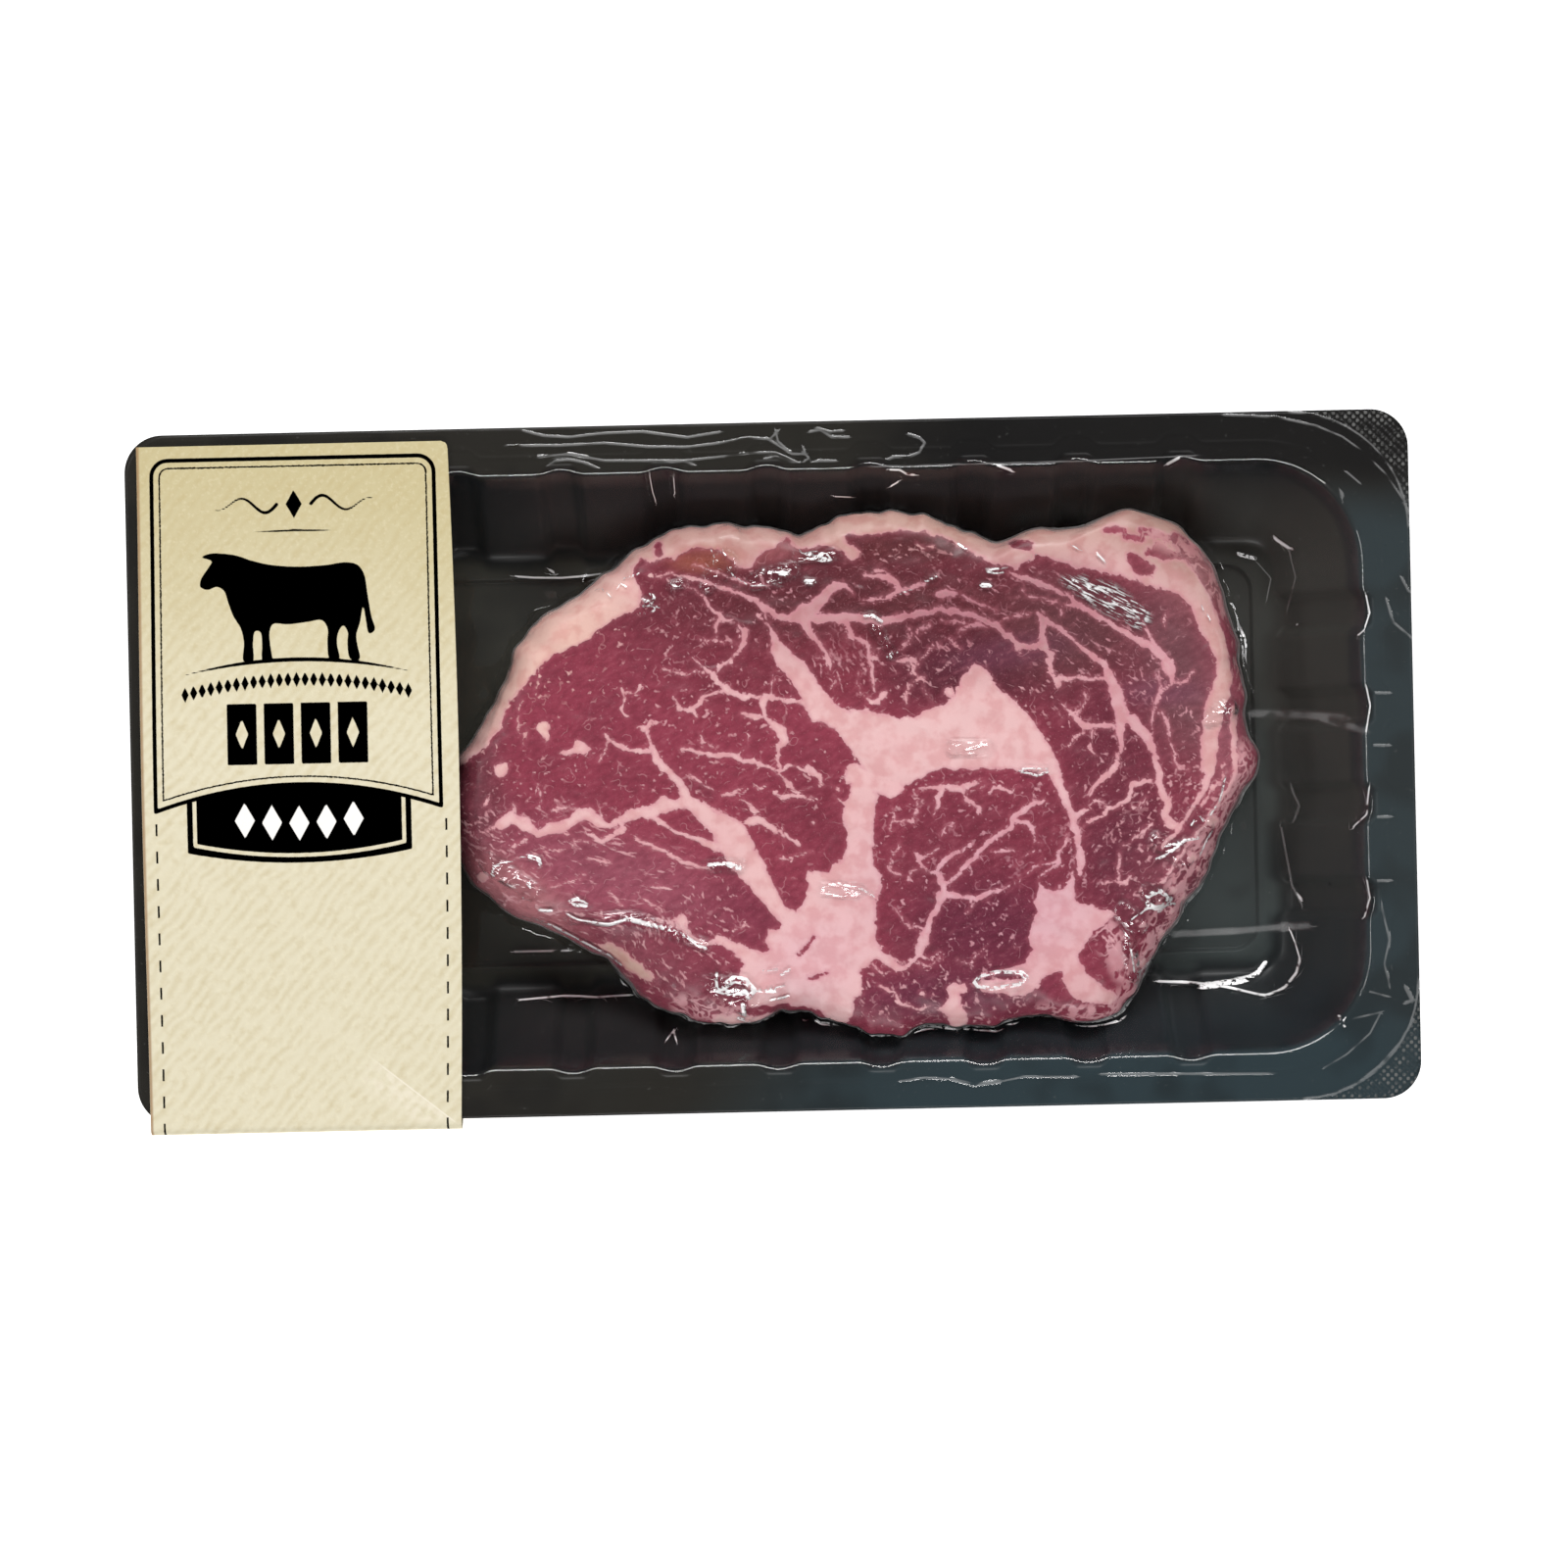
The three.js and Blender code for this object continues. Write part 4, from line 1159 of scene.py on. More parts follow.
@dataclass(frozen=True)
class Muscle:
    """A stretch of lean meat with its own small marks, scattered over a turned ellipse."""

    middle: tuple[float, float]
    reach: tuple[float, float]
    turn: float
    marks: int
    cut: Cut
    slant: float
    narrowest: float = 0.2
    bend: float = 0.16

    def lines(self, rng: np.random.Generator) -> list[Array]:
        """Draws the marks: spots spread evenly over the ellipse, each with a length, a width and a slant.

        Args:
            rng: The source of chance.

        Returns:
            One short line a mark.
        """
        spread, scale, widest = self.cut.value
        far = np.sqrt(rng.uniform(0.0, 1.0, self.marks))
        way = rng.uniform(0.0, FULL_TURN, self.marks)
        x, y = self.reach[0] * far * np.cos(way), self.reach[1] * far * np.sin(way)
        turn = math.radians(self.turn)
        spots = np.stack([self.middle[0] + x * math.cos(turn) - y * math.sin(turn),
                          self.middle[1] + x * math.sin(turn) + y * math.cos(turn)], axis=1)
        slant = np.radians(self.slant + rng.normal(0.0, spread, self.marks))
        length = rng.gamma(2.0, scale, self.marks)
        half = 0.5 * length[:, None] * np.stack([np.cos(slant), np.sin(slant)], axis=1)
        width = rng.uniform(self.narrowest, widest, self.marks) * np.minimum(1.0, 0.6 + 0.3 * length)
        bend = rng.normal(0.0, self.bend, (self.marks, 2))
        starts = np.concatenate([spots - half, 0.5 * width[:, None]], axis=1)
        middles = np.concatenate([spots + bend, width[:, None]], axis=1)
        ends = np.concatenate([spots + half, 0.4 * width[:, None]], axis=1)
        return list(np.stack([starts, middles, ends], axis=1))


MUSCLES = (
    Muscle((-30, 13), (34, 24), 20, 430, Cut.FLECKED, 20),
    Muscle((-38, -22), (32, 13), -18, 520, Cut.GRAINED, -24),
    Muscle((-4, 4), (20, 18), 0, 250, Cut.FLECKED, 70),
    Muscle((42, -20), (21, 21), 0, 420, Cut.FLECKED, 30),
    Muscle((40, 38), (24, 8), -8, 150, Cut.GRAINED, -22),
    Muscle((33, 20), (15, 8), 0, 200, Cut.FLECKED, 70),
    Muscle((-8, 34), (18, 10), 0, 140, Cut.FLECKED, -20),
    Muscle((76, 2), (14, 22), 10, 260, Cut.GRAINED, 75),
    Muscle((70, 25), (16, 11), -30, 150, Cut.GRAINED, -28),
    Muscle((57, 14), (8, 10), 0, 120, Cut.FLECKED, -50),
    Muscle((15, 23), (6, 7), 0, 110, Cut.GRAINED, 105),
    Muscle((34, -49), (20, 8), 0, 260, Cut.FLECKED, -10),
    Muscle((86, -20), (12, 22), -22, 420, Cut.FLECKED, 58),
    Muscle((-24, -43), (24, 9), -24, 330, Cut.GRAINED, -30),
    Muscle((66, -16), (6, 12), 0, 90, Cut.GRAINED, 70),
    Muscle((93, 38), (7, 12), 30, 150, Cut.FLECKED, -50),
    Muscle((99, 6), (4, 20), 0, 130, Cut.GRAINED, 85),
    Muscle((-62, -6), (9, 14), 0, 110, Cut.FLECKED, 60),
)


@dataclass(frozen=True)
class Tone:
    """A patch of the meat that has its own colour (a few patches are painted light and painted reflections
    instead): an ellipse that fades out at its edge.
    """

    middle: tuple[float, float]
    reach: tuple[float, float]
    turn: float
    colour: tuple[float, float, float]
    strength: float = 1.0

    def share(self, spots: Array) -> Array:
        """How much of the patch each spot has: a bell over the distance in reaches.

        Args:
            spots: Places on the cut face.

        Returns:
            The shares, from 0 to the patch's strength.
        """
        turn = math.radians(self.turn)
        arm = spots - np.array(self.middle)
        along = arm @ np.array([math.cos(turn), math.sin(turn)]) / self.reach[0]
        across = arm @ np.array([-math.sin(turn), math.cos(turn)]) / self.reach[1]
        return self.strength * np.exp(-((along**2 + across**2) ** 1.5))


LEAN = (141, 54, 73)
LEAN_TONES = (
    Tone((20, 34), (54, 15), -3, (90, 34, 42)),
    Tone((42, 19), (20, 9), 0, (88, 32, 46)),
    Tone((64, 27), (16, 13), -30, (98, 52, 58)),
    Tone((34, 46), (20, 3.5), 0, (80, 34, 34), 0.8),
    Tone((-3, 46), (13, 3.5), 0, (150, 84, 88), 0.8),
    Tone((-6, 20), (16, 8), 0, (122, 44, 60), 0.8),
    Tone((15, 21), (8, 8), 0, (126, 46, 62), 0.8),
    # partly the muscle's own paler pink, partly a painted haze reflection of the film
    Tone((-36, -22), (32, 10), -18, (150, 77, 94), 0.9),
    Tone((-24, -43), (24, 8), -22, (130, 60, 75), 0.8),
    # painted light: the lower left rim lightened where it lies in shade
    Tone((-55, -26), (16, 6), -38, (184, 118, 124)),
    Tone((-63, -5), (7, 14), 0, (102, 50, 60), 0.8),
    Tone((43, -16), (22, 13), 0, (120, 44, 62), 0.8),
    Tone((8, -10), (9, 8), 0, (126, 46, 64), 0.8),
    Tone((-6, -31), (9, 8), 0, (124, 48, 68), 0.8),
    Tone((44, -35), (20, 12), 0, (104, 36, 58)),
    Tone((34, -49), (22, 6), 0, (106, 42, 64)),
    Tone((74, -19), (12, 17), 0, (102, 38, 56)),
    Tone((72, 4), (13, 15), 0, (108, 40, 57)),
    Tone((86, 18), (9, 22), 14, (112, 66, 74)),
    Tone((84, -25), (9, 13), -20, (126, 62, 76)),
    Tone((96, 4), (5, 24), 5, (146, 82, 94), 0.8),
    # painted reflections: two faint purple bands where the film reflects
    Tone((50, 23), (13, 3.5), 8, (112, 60, 82), 0.5),
    Tone((82, 14), (9, 3), 0, (122, 68, 88), 0.6),
    Tone((92, 40), (11, 9), -45, (146, 92, 96)),
    Tone((-14, 43.5), (7, 2.5), 0, (150, 82, 62), 0.7),
)
FAT = (224, 181, 181)
FAT_TONES = (
    Tone((26, 33), (48, 14), -3, (188, 138, 142)),
    Tone((42, 31), (15, 8), 0, (156, 106, 113), 0.8),
    Tone((60, 33), (15, 11), -20, (174, 128, 132)),
    Tone((78, 14), (18, 18), 0, (208, 158, 164)),
    Tone((46, -26), (28, 22), 0, (214, 167, 176)),
    Tone((-20, 49), (30, 7), 0, (184, 142, 134), 0.9),
    Tone((40, 51), (48, 8.5), 0, (190, 152, 141)),
    Tone((88, 48), (22, 12), -35, (172, 136, 126)),
    Tone((97, 22), (5, 18), 10, (184, 148, 138), 0.9),
    Tone((-46, 24), (26, 14), 48, (222, 182, 170)),
    Tone((-12.5, 44.3), (6, 2), 0, (190, 134, 112), 0.9),
    Tone((-32, -41), (9, 5), -30, (206, 168, 156)),
    Tone((94, 14), (4, 22), 0, (208, 164, 160), 0.7),
    Tone((30, 6), (24, 8), 0, (225, 184, 184)),
    Tone((7, -41), (12, 10), 20, (222, 178, 184), 0.8),
    Tone((62, -46), (9, 6), 0, (214, 164, 168), 0.7),
)


@dataclass
class Marbling:
    """Where the steak is fat and where it is lean, and the colour of each.

    Each waver is a wavelength, how far it moves a spot, and the first of its two seeds.
    """

    seed: int = 11
    reach: float = 1.6
    wavers: tuple[tuple[float, float, int], ...] = ((3.2, 0.18, 21), (1.3, 0.1, 23))
    net_reach: float = 4.0
    net_soft: float = 3.0

    def wavered(self, spots: Array) -> Array:
        """The spots moved a little by noise, which gives everything drawn its waver.

        Args:
            spots: Places on the cut face.

        Returns:
            The moved places.
        """
        moved = spots
        for wavelength, size, seed in self.wavers:
            pair = [ripple(spots, wavelength, seed), ripple(spots, wavelength, seed + 1)]
            moved = moved + np.stack(pair, axis=1) * size
        return moved

    def fine_depth(self, spots: Array) -> Array:
        """How deep each spot lies in the muscles' small marks.

        Args:
            spots: Places on the cut face.

        Returns:
            The depths.
        """
        rng = np.random.default_rng(self.seed)
        lines = [line for muscle in MUSCLES for line in muscle.lines(rng)]
        return depth_in_lines(self.wavered(spots), lines, self.reach)

    def net(self, spots: Array) -> Array:
        """How surely each spot is where fat and lean lie mixed in small cells."""
        depth = depth_in_lines(spots, read_lines(MIXED), self.net_reach)
        return fade(depth, self.net_soft)

    def fat_depth(self, spots: Array) -> Array:
        """How deep in fat each spot lies, in millimetres: areas, seams and veins, less the islands.

        Args:
            spots: Places on the cut face.

        Returns:
            The depth, below zero in lean meat.
        """
        moved = self.wavered(spots)
        depth = np.full(len(spots), -self.reach)
        for corners in read_lines(FAT_AREAS):
            depth = np.maximum(depth, area_depth(moved, corners, self.reach))
        lines = []
        for text in (SEAMS, UPPER_LEFT_VEINS, LOWER_LEFT_VEINS, LOWER_MIDDLE_VEINS, UPPER_RIGHT_VEINS,
                     LOWER_RIGHT_VEINS):
            lines += read_lines(text)
        depth = np.maximum(depth, depth_in_lines(moved, lines, self.reach))
        islands = depth_in_lines(moved, read_lines(LEAN_ISLANDS), self.reach)
        return np.minimum(depth, -islands)

    @staticmethod
    def tone(spots: Array, base: tuple[float, float, float], tones: Sequence[Tone]) -> Array:
        """The colour at each spot: the base colour, laid over with each patch in turn.

        Args:
            spots: Places on the cut face.
            base: The screen colour between the patches.
            tones: The patches.

        Returns:
            Linear colours as (count, 4).
        """
        colour = np.tile(np.array(shade(*base)), (len(spots), 1))
        for patch in tones:
            share = np.clip(patch.share(spots), 0.0, 1.0)[:, None]
            colour += share * (np.array(shade(*patch.colour)) - colour)
        return colour


@dataclass(frozen=True)
class MeatFinish:
    """Moist raw beef: lean with a fine grain, and waxy fat whose edges are frayed by noise."""

    spurs: float = 0.75
    bites: float = 0.3
    fine_fray: float = 0.3
    threads: float = 0.3
    vein_pink: float = 0.4
    edge: float = 0.12
    shadow: tuple[float, ...] = shade(180, 150, 160)
    fibre: tuple[float, ...] = shade(188, 112, 124)
    fleck: tuple[float, ...] = shade(206, 146, 154)
    cloud: tuple[float, ...] = shade(92, 32, 48)
    wax: tuple[float, ...] = shade(244, 228, 229)
    flush: tuple[float, ...] = shade(216, 152, 158)
    vein: tuple[float, ...] = shade(200, 124, 142)
    blush: tuple[float, ...] = shade(186, 106, 120)
    dull: float = 0.42
    relief: float = 0.2

    def build(self) -> bpy.types.Material:
        """Makes the material.

        Returns:
            The material.
        """
        graph = Graph("raw_beef")
        uneven = graph.noise(1.5, 3.0)
        fray = uneven.between(0.56, 0.8) * self.spurs - (1.0 - uneven.between(0.26, 0.5)) * self.bites
        fine_fray = (graph.noise(0.55, 2.0) - 0.5) * self.fine_fray
        depth = graph.mark("fat") + fray + fine_fray
        fat = depth.between(-self.edge, self.edge * 1.6)
        marks = (graph.mark("marks") + fine_fray).between(-self.edge, self.edge)
        fat = fat.most(marks * graph.noise(8.0, 1.0).between(0.2, 0.55) * 0.8)
        threads = (0.02 - abs(graph.noise(4.4, 2.0) - 0.5)).between(0.0, 0.016)
        fat = fat.most(threads * graph.noise(3.1).between(0.52, 0.6) * self.threads)
        fat = fat.most(self.mixed(graph) * graph.mark("net"))
        blush = depth.between(-0.9, 0.35)
        grain = graph.noise(1.1, 3.0, (1.8, 1.0, 1.0), 25.0)
        fine = graph.noise(0.38, 2.0)
        cloud = graph.noise(9.0, 2.0)
        lean = graph.mark_colour("lean_tone")
        shaded = graph.tint(lean, self.shadow)
        lean = graph.blend((1.0 - grain.between(0.3, 0.6)) * 0.35, lean, shaded)
        lean = graph.blend(grain.between(0.55, 0.8) * 0.22, lean, self.fibre)
        lean = graph.blend(fine.between(0.58, 0.75) * 0.16, lean, self.fleck)
        lean = graph.blend(cloud.between(0.35, 0.7) * 0.2, lean, self.cloud)
        pale = graph.mark_colour("fat_tone")
        pale = graph.tint(pale, self.wax, 1.0 - graph.noise(3.4, 3.0).between(0.35, 0.6))
        pale = graph.blend(graph.noise(7.0, 2.0).between(0.5, 0.8) * 0.2, pale, self.flush)
        pale = graph.blend((1.0 - depth.between(0.1, 0.9)) * self.vein_pink, pale, self.vein)
        colour = graph.blend(blush * 0.3, lean, self.blush)
        colour = graph.blend(fat, colour, pale)
        relief = fat * 0.5 + grain * 0.3 + fine * 0.2
        shader = graph.add("ShaderNodeBsdfPrincipled", None, {
            "Base Color": colour, "Roughness": self.dull + grain * 0.2,
            "Normal": graph.bump(relief, self.relief), "Specular IOR Level": 0.12})
        return graph.finish(shader)

    def mixed(self, graph: Graph) -> Wire:
        """Fat in a loose net: lines where one noise is near its middle, and blots where another is high.

        Args:
            graph: The material's nodes.

        Returns:
            The share of fat.
        """
        lines = 0.05 - abs(graph.noise(4.0, 2.0) - 0.5)
        blots = graph.noise(3.0, 3.0, (1.0, 1.6, 1.0), -25.0)
        return lines.between(0.0, 0.035).most(blots.between(0.5, 0.58)) * 0.85


@dataclass
class Steak:
    """The steak as one closed mesh with its marbling marked on it."""

    form: SteakForm
    marbling: Marbling
    columns: int = 372
    rows: int = 238
    lean_sink: float = 0.16
    sink_soft: float = 0.8
    belly_turns: tuple[float, ...] = (22.0, 45.0, 68.0, 90.0)
    under_shares: tuple[float, ...] = (0.97, 0.88, 0.7, 0.4)

    def lower_rings(self, angle: Array) -> Array:
        """Rings from the widest line under the belly and along the underside to the middle.

        The belly is a quarter of an ellipse from the widest line in to the tuck. Past it the rings lie on
        the underside, at shares of the tuck's distance.

        Args:
            angle: The directions of the widest line's points.

        Returns:
            Points as (rings, count, 3).
        """
        form = self.form
        radius, _, _, widest = form.levels(angle)
        low = form.underside(polar(form.centre, angle, radius - form.tuck))
        rings = []
        for turn in np.radians(self.belly_turns):
            inward = form.tuck * (1.0 - math.cos(turn))
            height = widest - (widest - low) * math.sin(turn)
            rings.append(on_height(polar(form.centre, angle, radius - inward), height))
        for share in self.under_shares:
            spots = polar(form.centre, angle, share * (radius - form.tuck))
            rings.append(on_height(spots, form.underside(spots)))
        return np.array(rings)

    def build(self) -> bpy.types.Object:
        """Makes the steak: the dome with lean meat sunk a little below the fat, and the belly under it.

        Returns:
            The piece.
        """
        form = self.form
        dome, angle = form.dome(self.columns, self.rows)
        edge = border(self.rows + 1, self.columns + 1)
        lower = self.lower_rings(angle.ravel()[edge])
        flat = dome.reshape(-1, 3)
        fat = self.marbling.fat_depth(flat[:, :2])
        normals = -grid_normals(dome).reshape(-1, 3)
        relief = self.lean_sink * (fade(fat, self.sink_soft) - 1.0) + form.sag(flat[:, :2])
        inner = np.ones(len(flat))
        inner[edge] = 0.0
        flat = flat + normals * (relief * inner)[:, None]
        count = len(edge)
        pole = on_height(form.centre, np.array(form.tray.pad + form.gap))[None]
        points = np.concatenate([flat, lower.reshape(-1, 3), pole])
        below = len(flat) + np.arange(lower[..., 0].size).reshape(-1, count)
        rings = np.concatenate([edge[None], below])
        after = np.roll(rings, -1, axis=1)
        sides = np.stack([rings[:-1], rings[1:], after[1:], after[:-1]], axis=-1).reshape(-1, 4)
        top = grid_faces(self.rows + 1, self.columns + 1)[:, ::-1]
        faces = [top, sides, pole_faces(len(points) - 1, rings[-1][::-1])]
        spots = points[:, :2]
        marks = {
            "fat": np.concatenate([fat, self.marbling.fat_depth(spots[len(flat):])]),
            "marks": self.marbling.fine_depth(spots), "net": self.marbling.net(spots),
            # a few lean tone patches are painted light and painted reflections
            "lean_tone": Marbling.tone(spots, LEAN, LEAN_TONES),
            "fat_tone": Marbling.tone(spots, FAT, FAT_TONES),
        }
        surface = Surface(points, faces, marks)
        return make_piece("ribeye_steak", surface, MeatFinish().build(), Slot.MEAT, "steak")


# The skin film


# Folds of the film as drawn lines. On the flange they lift the film and carry faint painted highlight
# lines.
# In the well the wide ones lift the film and carry painted glints, and the thin ones are only painted
# highlight lines. The faint broad ones in the well are painted reflection bands and lines, with no fold
# under them.
FLANGE_FOLDS_AND_SHEEN = """
.5 96.3,71.9 107.4,71.2 115.7,69.2 121.2,66.8 125.7,63.4 130.2,58.7 133.8,53.1 136.3,47; .5 121.9,59.4
124.6,57; .6 129.7,32.4 130.9,27.7 135.7,23.4; .6 133,36.9 134.3,34.1 136,33.1; .6 126.9,12.8 130,12.7; .6
126.4,1.8 129.7,1.7; .5 126.4,-54.8 124.3,-58.7 119.3,-63 114.4,-65.8; .7 133.4,-56 130.6,-60.8
126.1,-65.6 121.1,-69.4 116.2,-71.4; .5 67.4,-66.1 104.1,-66.7; .5 122.6,-49.4 128.4,-51.1; .5 119.5,-55.8
126.9,-54.3; .6 126.8,-13.3 129.7,-13.3; .6 126.5,-26.7 129.4,-26.7; .5 126.9,-30.4 128.8,-39.2
127.6,-44.1 128.6,-49; .4 25.2,-66.6 30.4,-66 36.1,-66.4; .7 36.1,-66.4 40.8,-67.7 46.6,-67.1; .4
46.6,-67.1 51.3,-66.2 62.7,-66.5; .8 131.9,-49.1 133.3,-52 131.8,-52.5; .5 -51.1,71.8 -46.5,70.6
-41.3,70.2 -33.8,70.9 -25.7,71 -16.5,69.6 -9.5,70.6; .5 -54.7,68.7 -43.1,68.5 -33.8,68.8 -24.6,67.8
-16.5,67.6 -9.5,68.3 -3.7,69.3 .9,68.9 2.7,70.6; .5 -47.8,66.2 -41.4,66.7 -33.9,65.1 -17.1,64.7 -2.6,66.1
2,66 8.9,62.7; .5 -46.1,64.2 -44.3,65.3 -41.4,65.5 -38.5,64.9 -35.1,63.4; .5 -23.5,63.1 -20.6,64.5
-17.1,64.7 -14.3,63.2; .5 -1.3,62.9 -.4,64.6 2,65.2 4.8,64.2 8.3,62.4; .5 2.1,70.7 2.6,68.3 5.4,65.7
8.3,65.6 7.8,67.1; .5 .3,69 4.9,66; .5 10.8,71 13.6,70.1 16.3,70.3; .5 8.9,62.7 11.2,64.1 14.7,64; .5
7.9,65.9 9,64.7 7.9,64; .5 9.2,70.2 11.5,70.6 13.8,69 17.5,68.9; .6 30,69.2 32.3,68.5 33.4,67.4 32.2,65.4
29.9,64.5 27,64.6 23.5,63.2; .5 8.1,63 10.8,64.1 13.7,64 15.9,62.5;
"""
WELL_FOLDS_AND_GLINTS = """
.8 101.3,43.9 105.1,42.8; .6 109,46.8 111.8,44.6; 1 112.7,28.5 112.9,28.3; .45 -55.2,42.5 -50.8,42.1
-44.8,41.9 -36.2,42.4; .5 -47.3,43.7 -46.5,43.2; .45 -56.9,-38.6 -45,-38.6; .4 -56.5,-48.9 -46.4,-48.2
-38.8,-48.6 -31.7,-48.3; .35 -23.7,-57.2 -22.4,-55.7 -21.8,-57.6; .16 -24.6,61.8 -24.2,58.8 -23.7,57.1; .5
82,-47.9 90.6,-48.4 95.6,-49.1 104.5,-51.3 108.6,-49.6 111.2,-46.6 112.2,-43.7; .3 112.2,-43.7 111.6,-40.7
110.6,-37.6; 1.5 90.6,-49 95.1,-48.7 100.6,-47.8; 1 100.6,-47.8 103.6,-46.5 105.3,-44.5; .6 112.5,-30.1
112.8,-30.7; .3 26.3,58.9 27.7,59.6; .2 14.4,57.1 17.9,56.9; .3 125.1,14.4 125.9,10.2 124.9,4.7; .3
123.9,25.1 124.9,26 126.2,29.7 125.5,33.4; .3 125.3,-6.9 124.8,-12.7 122.3,-15.2; .3 124.5,-26.6
125.1,-30.3 123.9,-34.4; .8 118,-55.1 119.3,-57.6; .4 26.1,62 28.1,61.9 29.5,61.1 31.2,60.9; .5 48.6,62.4
51.5,61.4; .5 85.4,62.4 86.8,63.1; .6 84.5,62 86.7,63.1; .16 -19.6,61.3 -19.5,58.4;
"""
FAINT_REFLECTIONS = """
2 103.9,9.4 113.3,8.8 120.9,7.8; 1.6 85.7,-37.9 100.8,-37.4 113.8,-36.5; .3 105.5,41.9 108.3,38.5
107.3,33.8; .3 111.8,44.2 113,38.4 111.5,31.9; .45 109.3,-15.6 111.1,-27.6 112.9,-31.7; .45 111.5,-7.1
112.9,-10.7 111.9,-13.6; 1 118.7,61.7 120.1,60.3 120.9,54.3; .35 22.3,62.7 65.7,62.9 90.3,63.5; 1.8
118,7.5 124.4,5.1;
"""
# Painted white glints on the film over the meat, along lines that also lift the film a little, and the
# patches where it is crumpled.
GLINTS = """
.4 -36.8,37.9 -35.1,38.2 -32.8,36.1; .45 -32.2,37.8 -31,39 -29.9,38.4; .45 -30.4,40.1 -26.9,41.2; .7
-26.7,35.7 -25.3,35.4 -23.8,35.9; .7 -26.5,34.2 -24.7,34.5 -23.3,33.9; .5 -27.1,32.8 -25.7,32.8
-24.2,33.3; .5 -25.3,37.1 -24.1,36.5; .6 -20.6,39 -19.5,38.4 -17.7,39; .35 -12.1,46.1 -11.2,44.3
-11.8,42.6 -9.5,41.4; .35 -9.7,46 -8.9,44.3; .4 -8.9,42.5 -7.3,40.2 -4.4,38.4; .5 -2.6,40.1 -.9,41.5
.8,40.6 3.2,41.1 4.6,40.5; .5 -3.8,38.1 2.5,38.5; .9 2.3,40.6 4,40.4; .45 6.5,45.4 8.4,43.6 11.3,43
13.3,43.2 12.5,44.4 10.2,45 7.9,44.8; 1 7.8,38.8 9.5,38.7; .6 7.7,44.5 10.9,44.1 12.6,43.2; .6 32.8,38.2
35.7,39.3; .5 27.5,35.7 30.4,36.8; .7 19.9,31.2 21.6,31.5 23.6,30; .5 24.3,22.4 25.8,23.8; .5 25.2,22.2
26.8,23.7; .5 45.5,40.5 50.2,40.6; .5 45.8,40 47.3,39.6 49.3,39.6; .9 44.6,37.2 46.5,37; .5 39.9,46.1
41.6,44.9; .6 68.8,43.4 70.7,41.4; .4 63,45.6 65.9,43.8; .4 54.8,42.3 56.6,43.7; .4 90.3,32.8 91.2,30.9;
.4 91.7,30.4 92.6,28.5; .4 94.1,11.9 95.4,10; .7 -59.5,-21.3 -58.9,-19.5 -56.4,-18.9; .5 -56.4,-18.9
-51.9,-17.4; .9 -51.9,-17.6 -49.5,-18.3 -49.3,-19.4; .4 -59.5,-21.3 -54.3,-24.5; .8 -52,-23.2 -51.5,-24;
.7 -53.1,-26.3 -52.9,-26.4; .7 -49.8,-28.7 -47,-29; .7 -43.5,-27.3 -41.7,-26.6 -39.5,-28; .9 -42.3,-27.9
-40.1,-28.3; .5 -44.2,-29.7 -41.8,-31 -38.7,-31.7; .8 -38.7,-31.7 -35,-32.3 -31.2,-31.2; 1.1 -31.2,-31.2
-22.6,-33.6; .8 -22.6,-33.6 -18.9,-35.2 -16.5,-37.1 -14.9,-37.8; .7 -12.6,-42.8 -12.9,-44 -12.6,-46.8; 1.2
-12.9,-46.5 -10.5,-47.2 -6.8,-47; 1.6 -11.1,-45.6 -9.2,-44.4 -6.7,-44.8; 1.2 -6.7,-44.8 -4.9,-46.7
-6.2,-48.2; .8 -4.9,-46.7 -.6,-47.1; 1 -7.4,-49.7 -7.2,-51.6; .8 -8.4,-52.5 -6.3,-53.2; .9 -14.2,-20.3
-10.5,-20; 1.3 -9.9,-20.2 -7.4,-21.2; .7 .8,-43.7 2.6,-42.6; .6 -2.9,-42.7 .2,-42.5; .5 10.4,-25.2
13.2,-24.7 18,-26 20.8,-27.7; .5 10.5,-26.8 14.1,-27.6 17.9,-27; .6 -1.6,-48.9 2.3,-48; .5 -3.4,-47
1.3,-45.9; .8 41.3,-46.2 42.5,-44.9 46.1,-44 51.3,-44.3; .9 51.3,-44.3 52.5,-45.3 50.8,-46.7 45.1,-47.5
41.8,-46.9; .6 51.8,-2 55.6,-3.1 58,-2.2; .5 52.3,-1.4 58.4,-1.7; .7 80.1,-21.1 82.6,-20.2 86.1,-17.3
89,-16.8; .5 81.4,-18.8 84.7,-17.7; .5 87.6,-14.1 89.2,-12 90.1,-13.4; 1.1 78,-28.8 80.5,-27.6 82.9,-29.4
80.4,-31.8 78,-30.3; .7 77.5,-31.3 83.9,-30.6; .5 74,-34.1 77.5,-31.7; .5 72,-35.1 73.9,-37.5 75.2,-44.9;
.6 75.7,-45.4 78.7,-43; .5 89,-20.8 92,-15.4; .5 91.6,-12 93.6,-9.1 95.2,-3.3; .55 -50.5,-30.6 -35.5,-38.8
-32.5,-41.2;
"""
CRUMPLES = """
-43,-31.5,2 -36,-31,2.6 -30,-31,2.6 -22,-34,2.4 -15,-37,2; 1.5 -20.5,38.7 -18.5,39.3; -13,38.5,3 -9,43,5;
3 -3,39 5,41.5; 2 6.5,44 14,44.5; 21.5,30.5,2.5 25.5,23,1.5; 4 -60,-19 -51,-25; 2 -14,-20.5 -7,-20.5; 5
-13,-46 -6,-50; 10,-26,2 17,-26.5,3; 3 38,3 45,3; 80,-17,3 86,-21,4; 3 88,-12 91,-14; 3 78,-28 80,-29.5; 4
73,-32 76,-35; 3 74,-38 75,-46; 92,8,3 96,10,4;
"""
# The patch over the meat where fine white glints are painted on the film in streaks.
GLINT_STREAK_PATCH = "61.5,38,1.5 66,36.5,4.5 71,34,6.5 77.5,29.8,5.5"


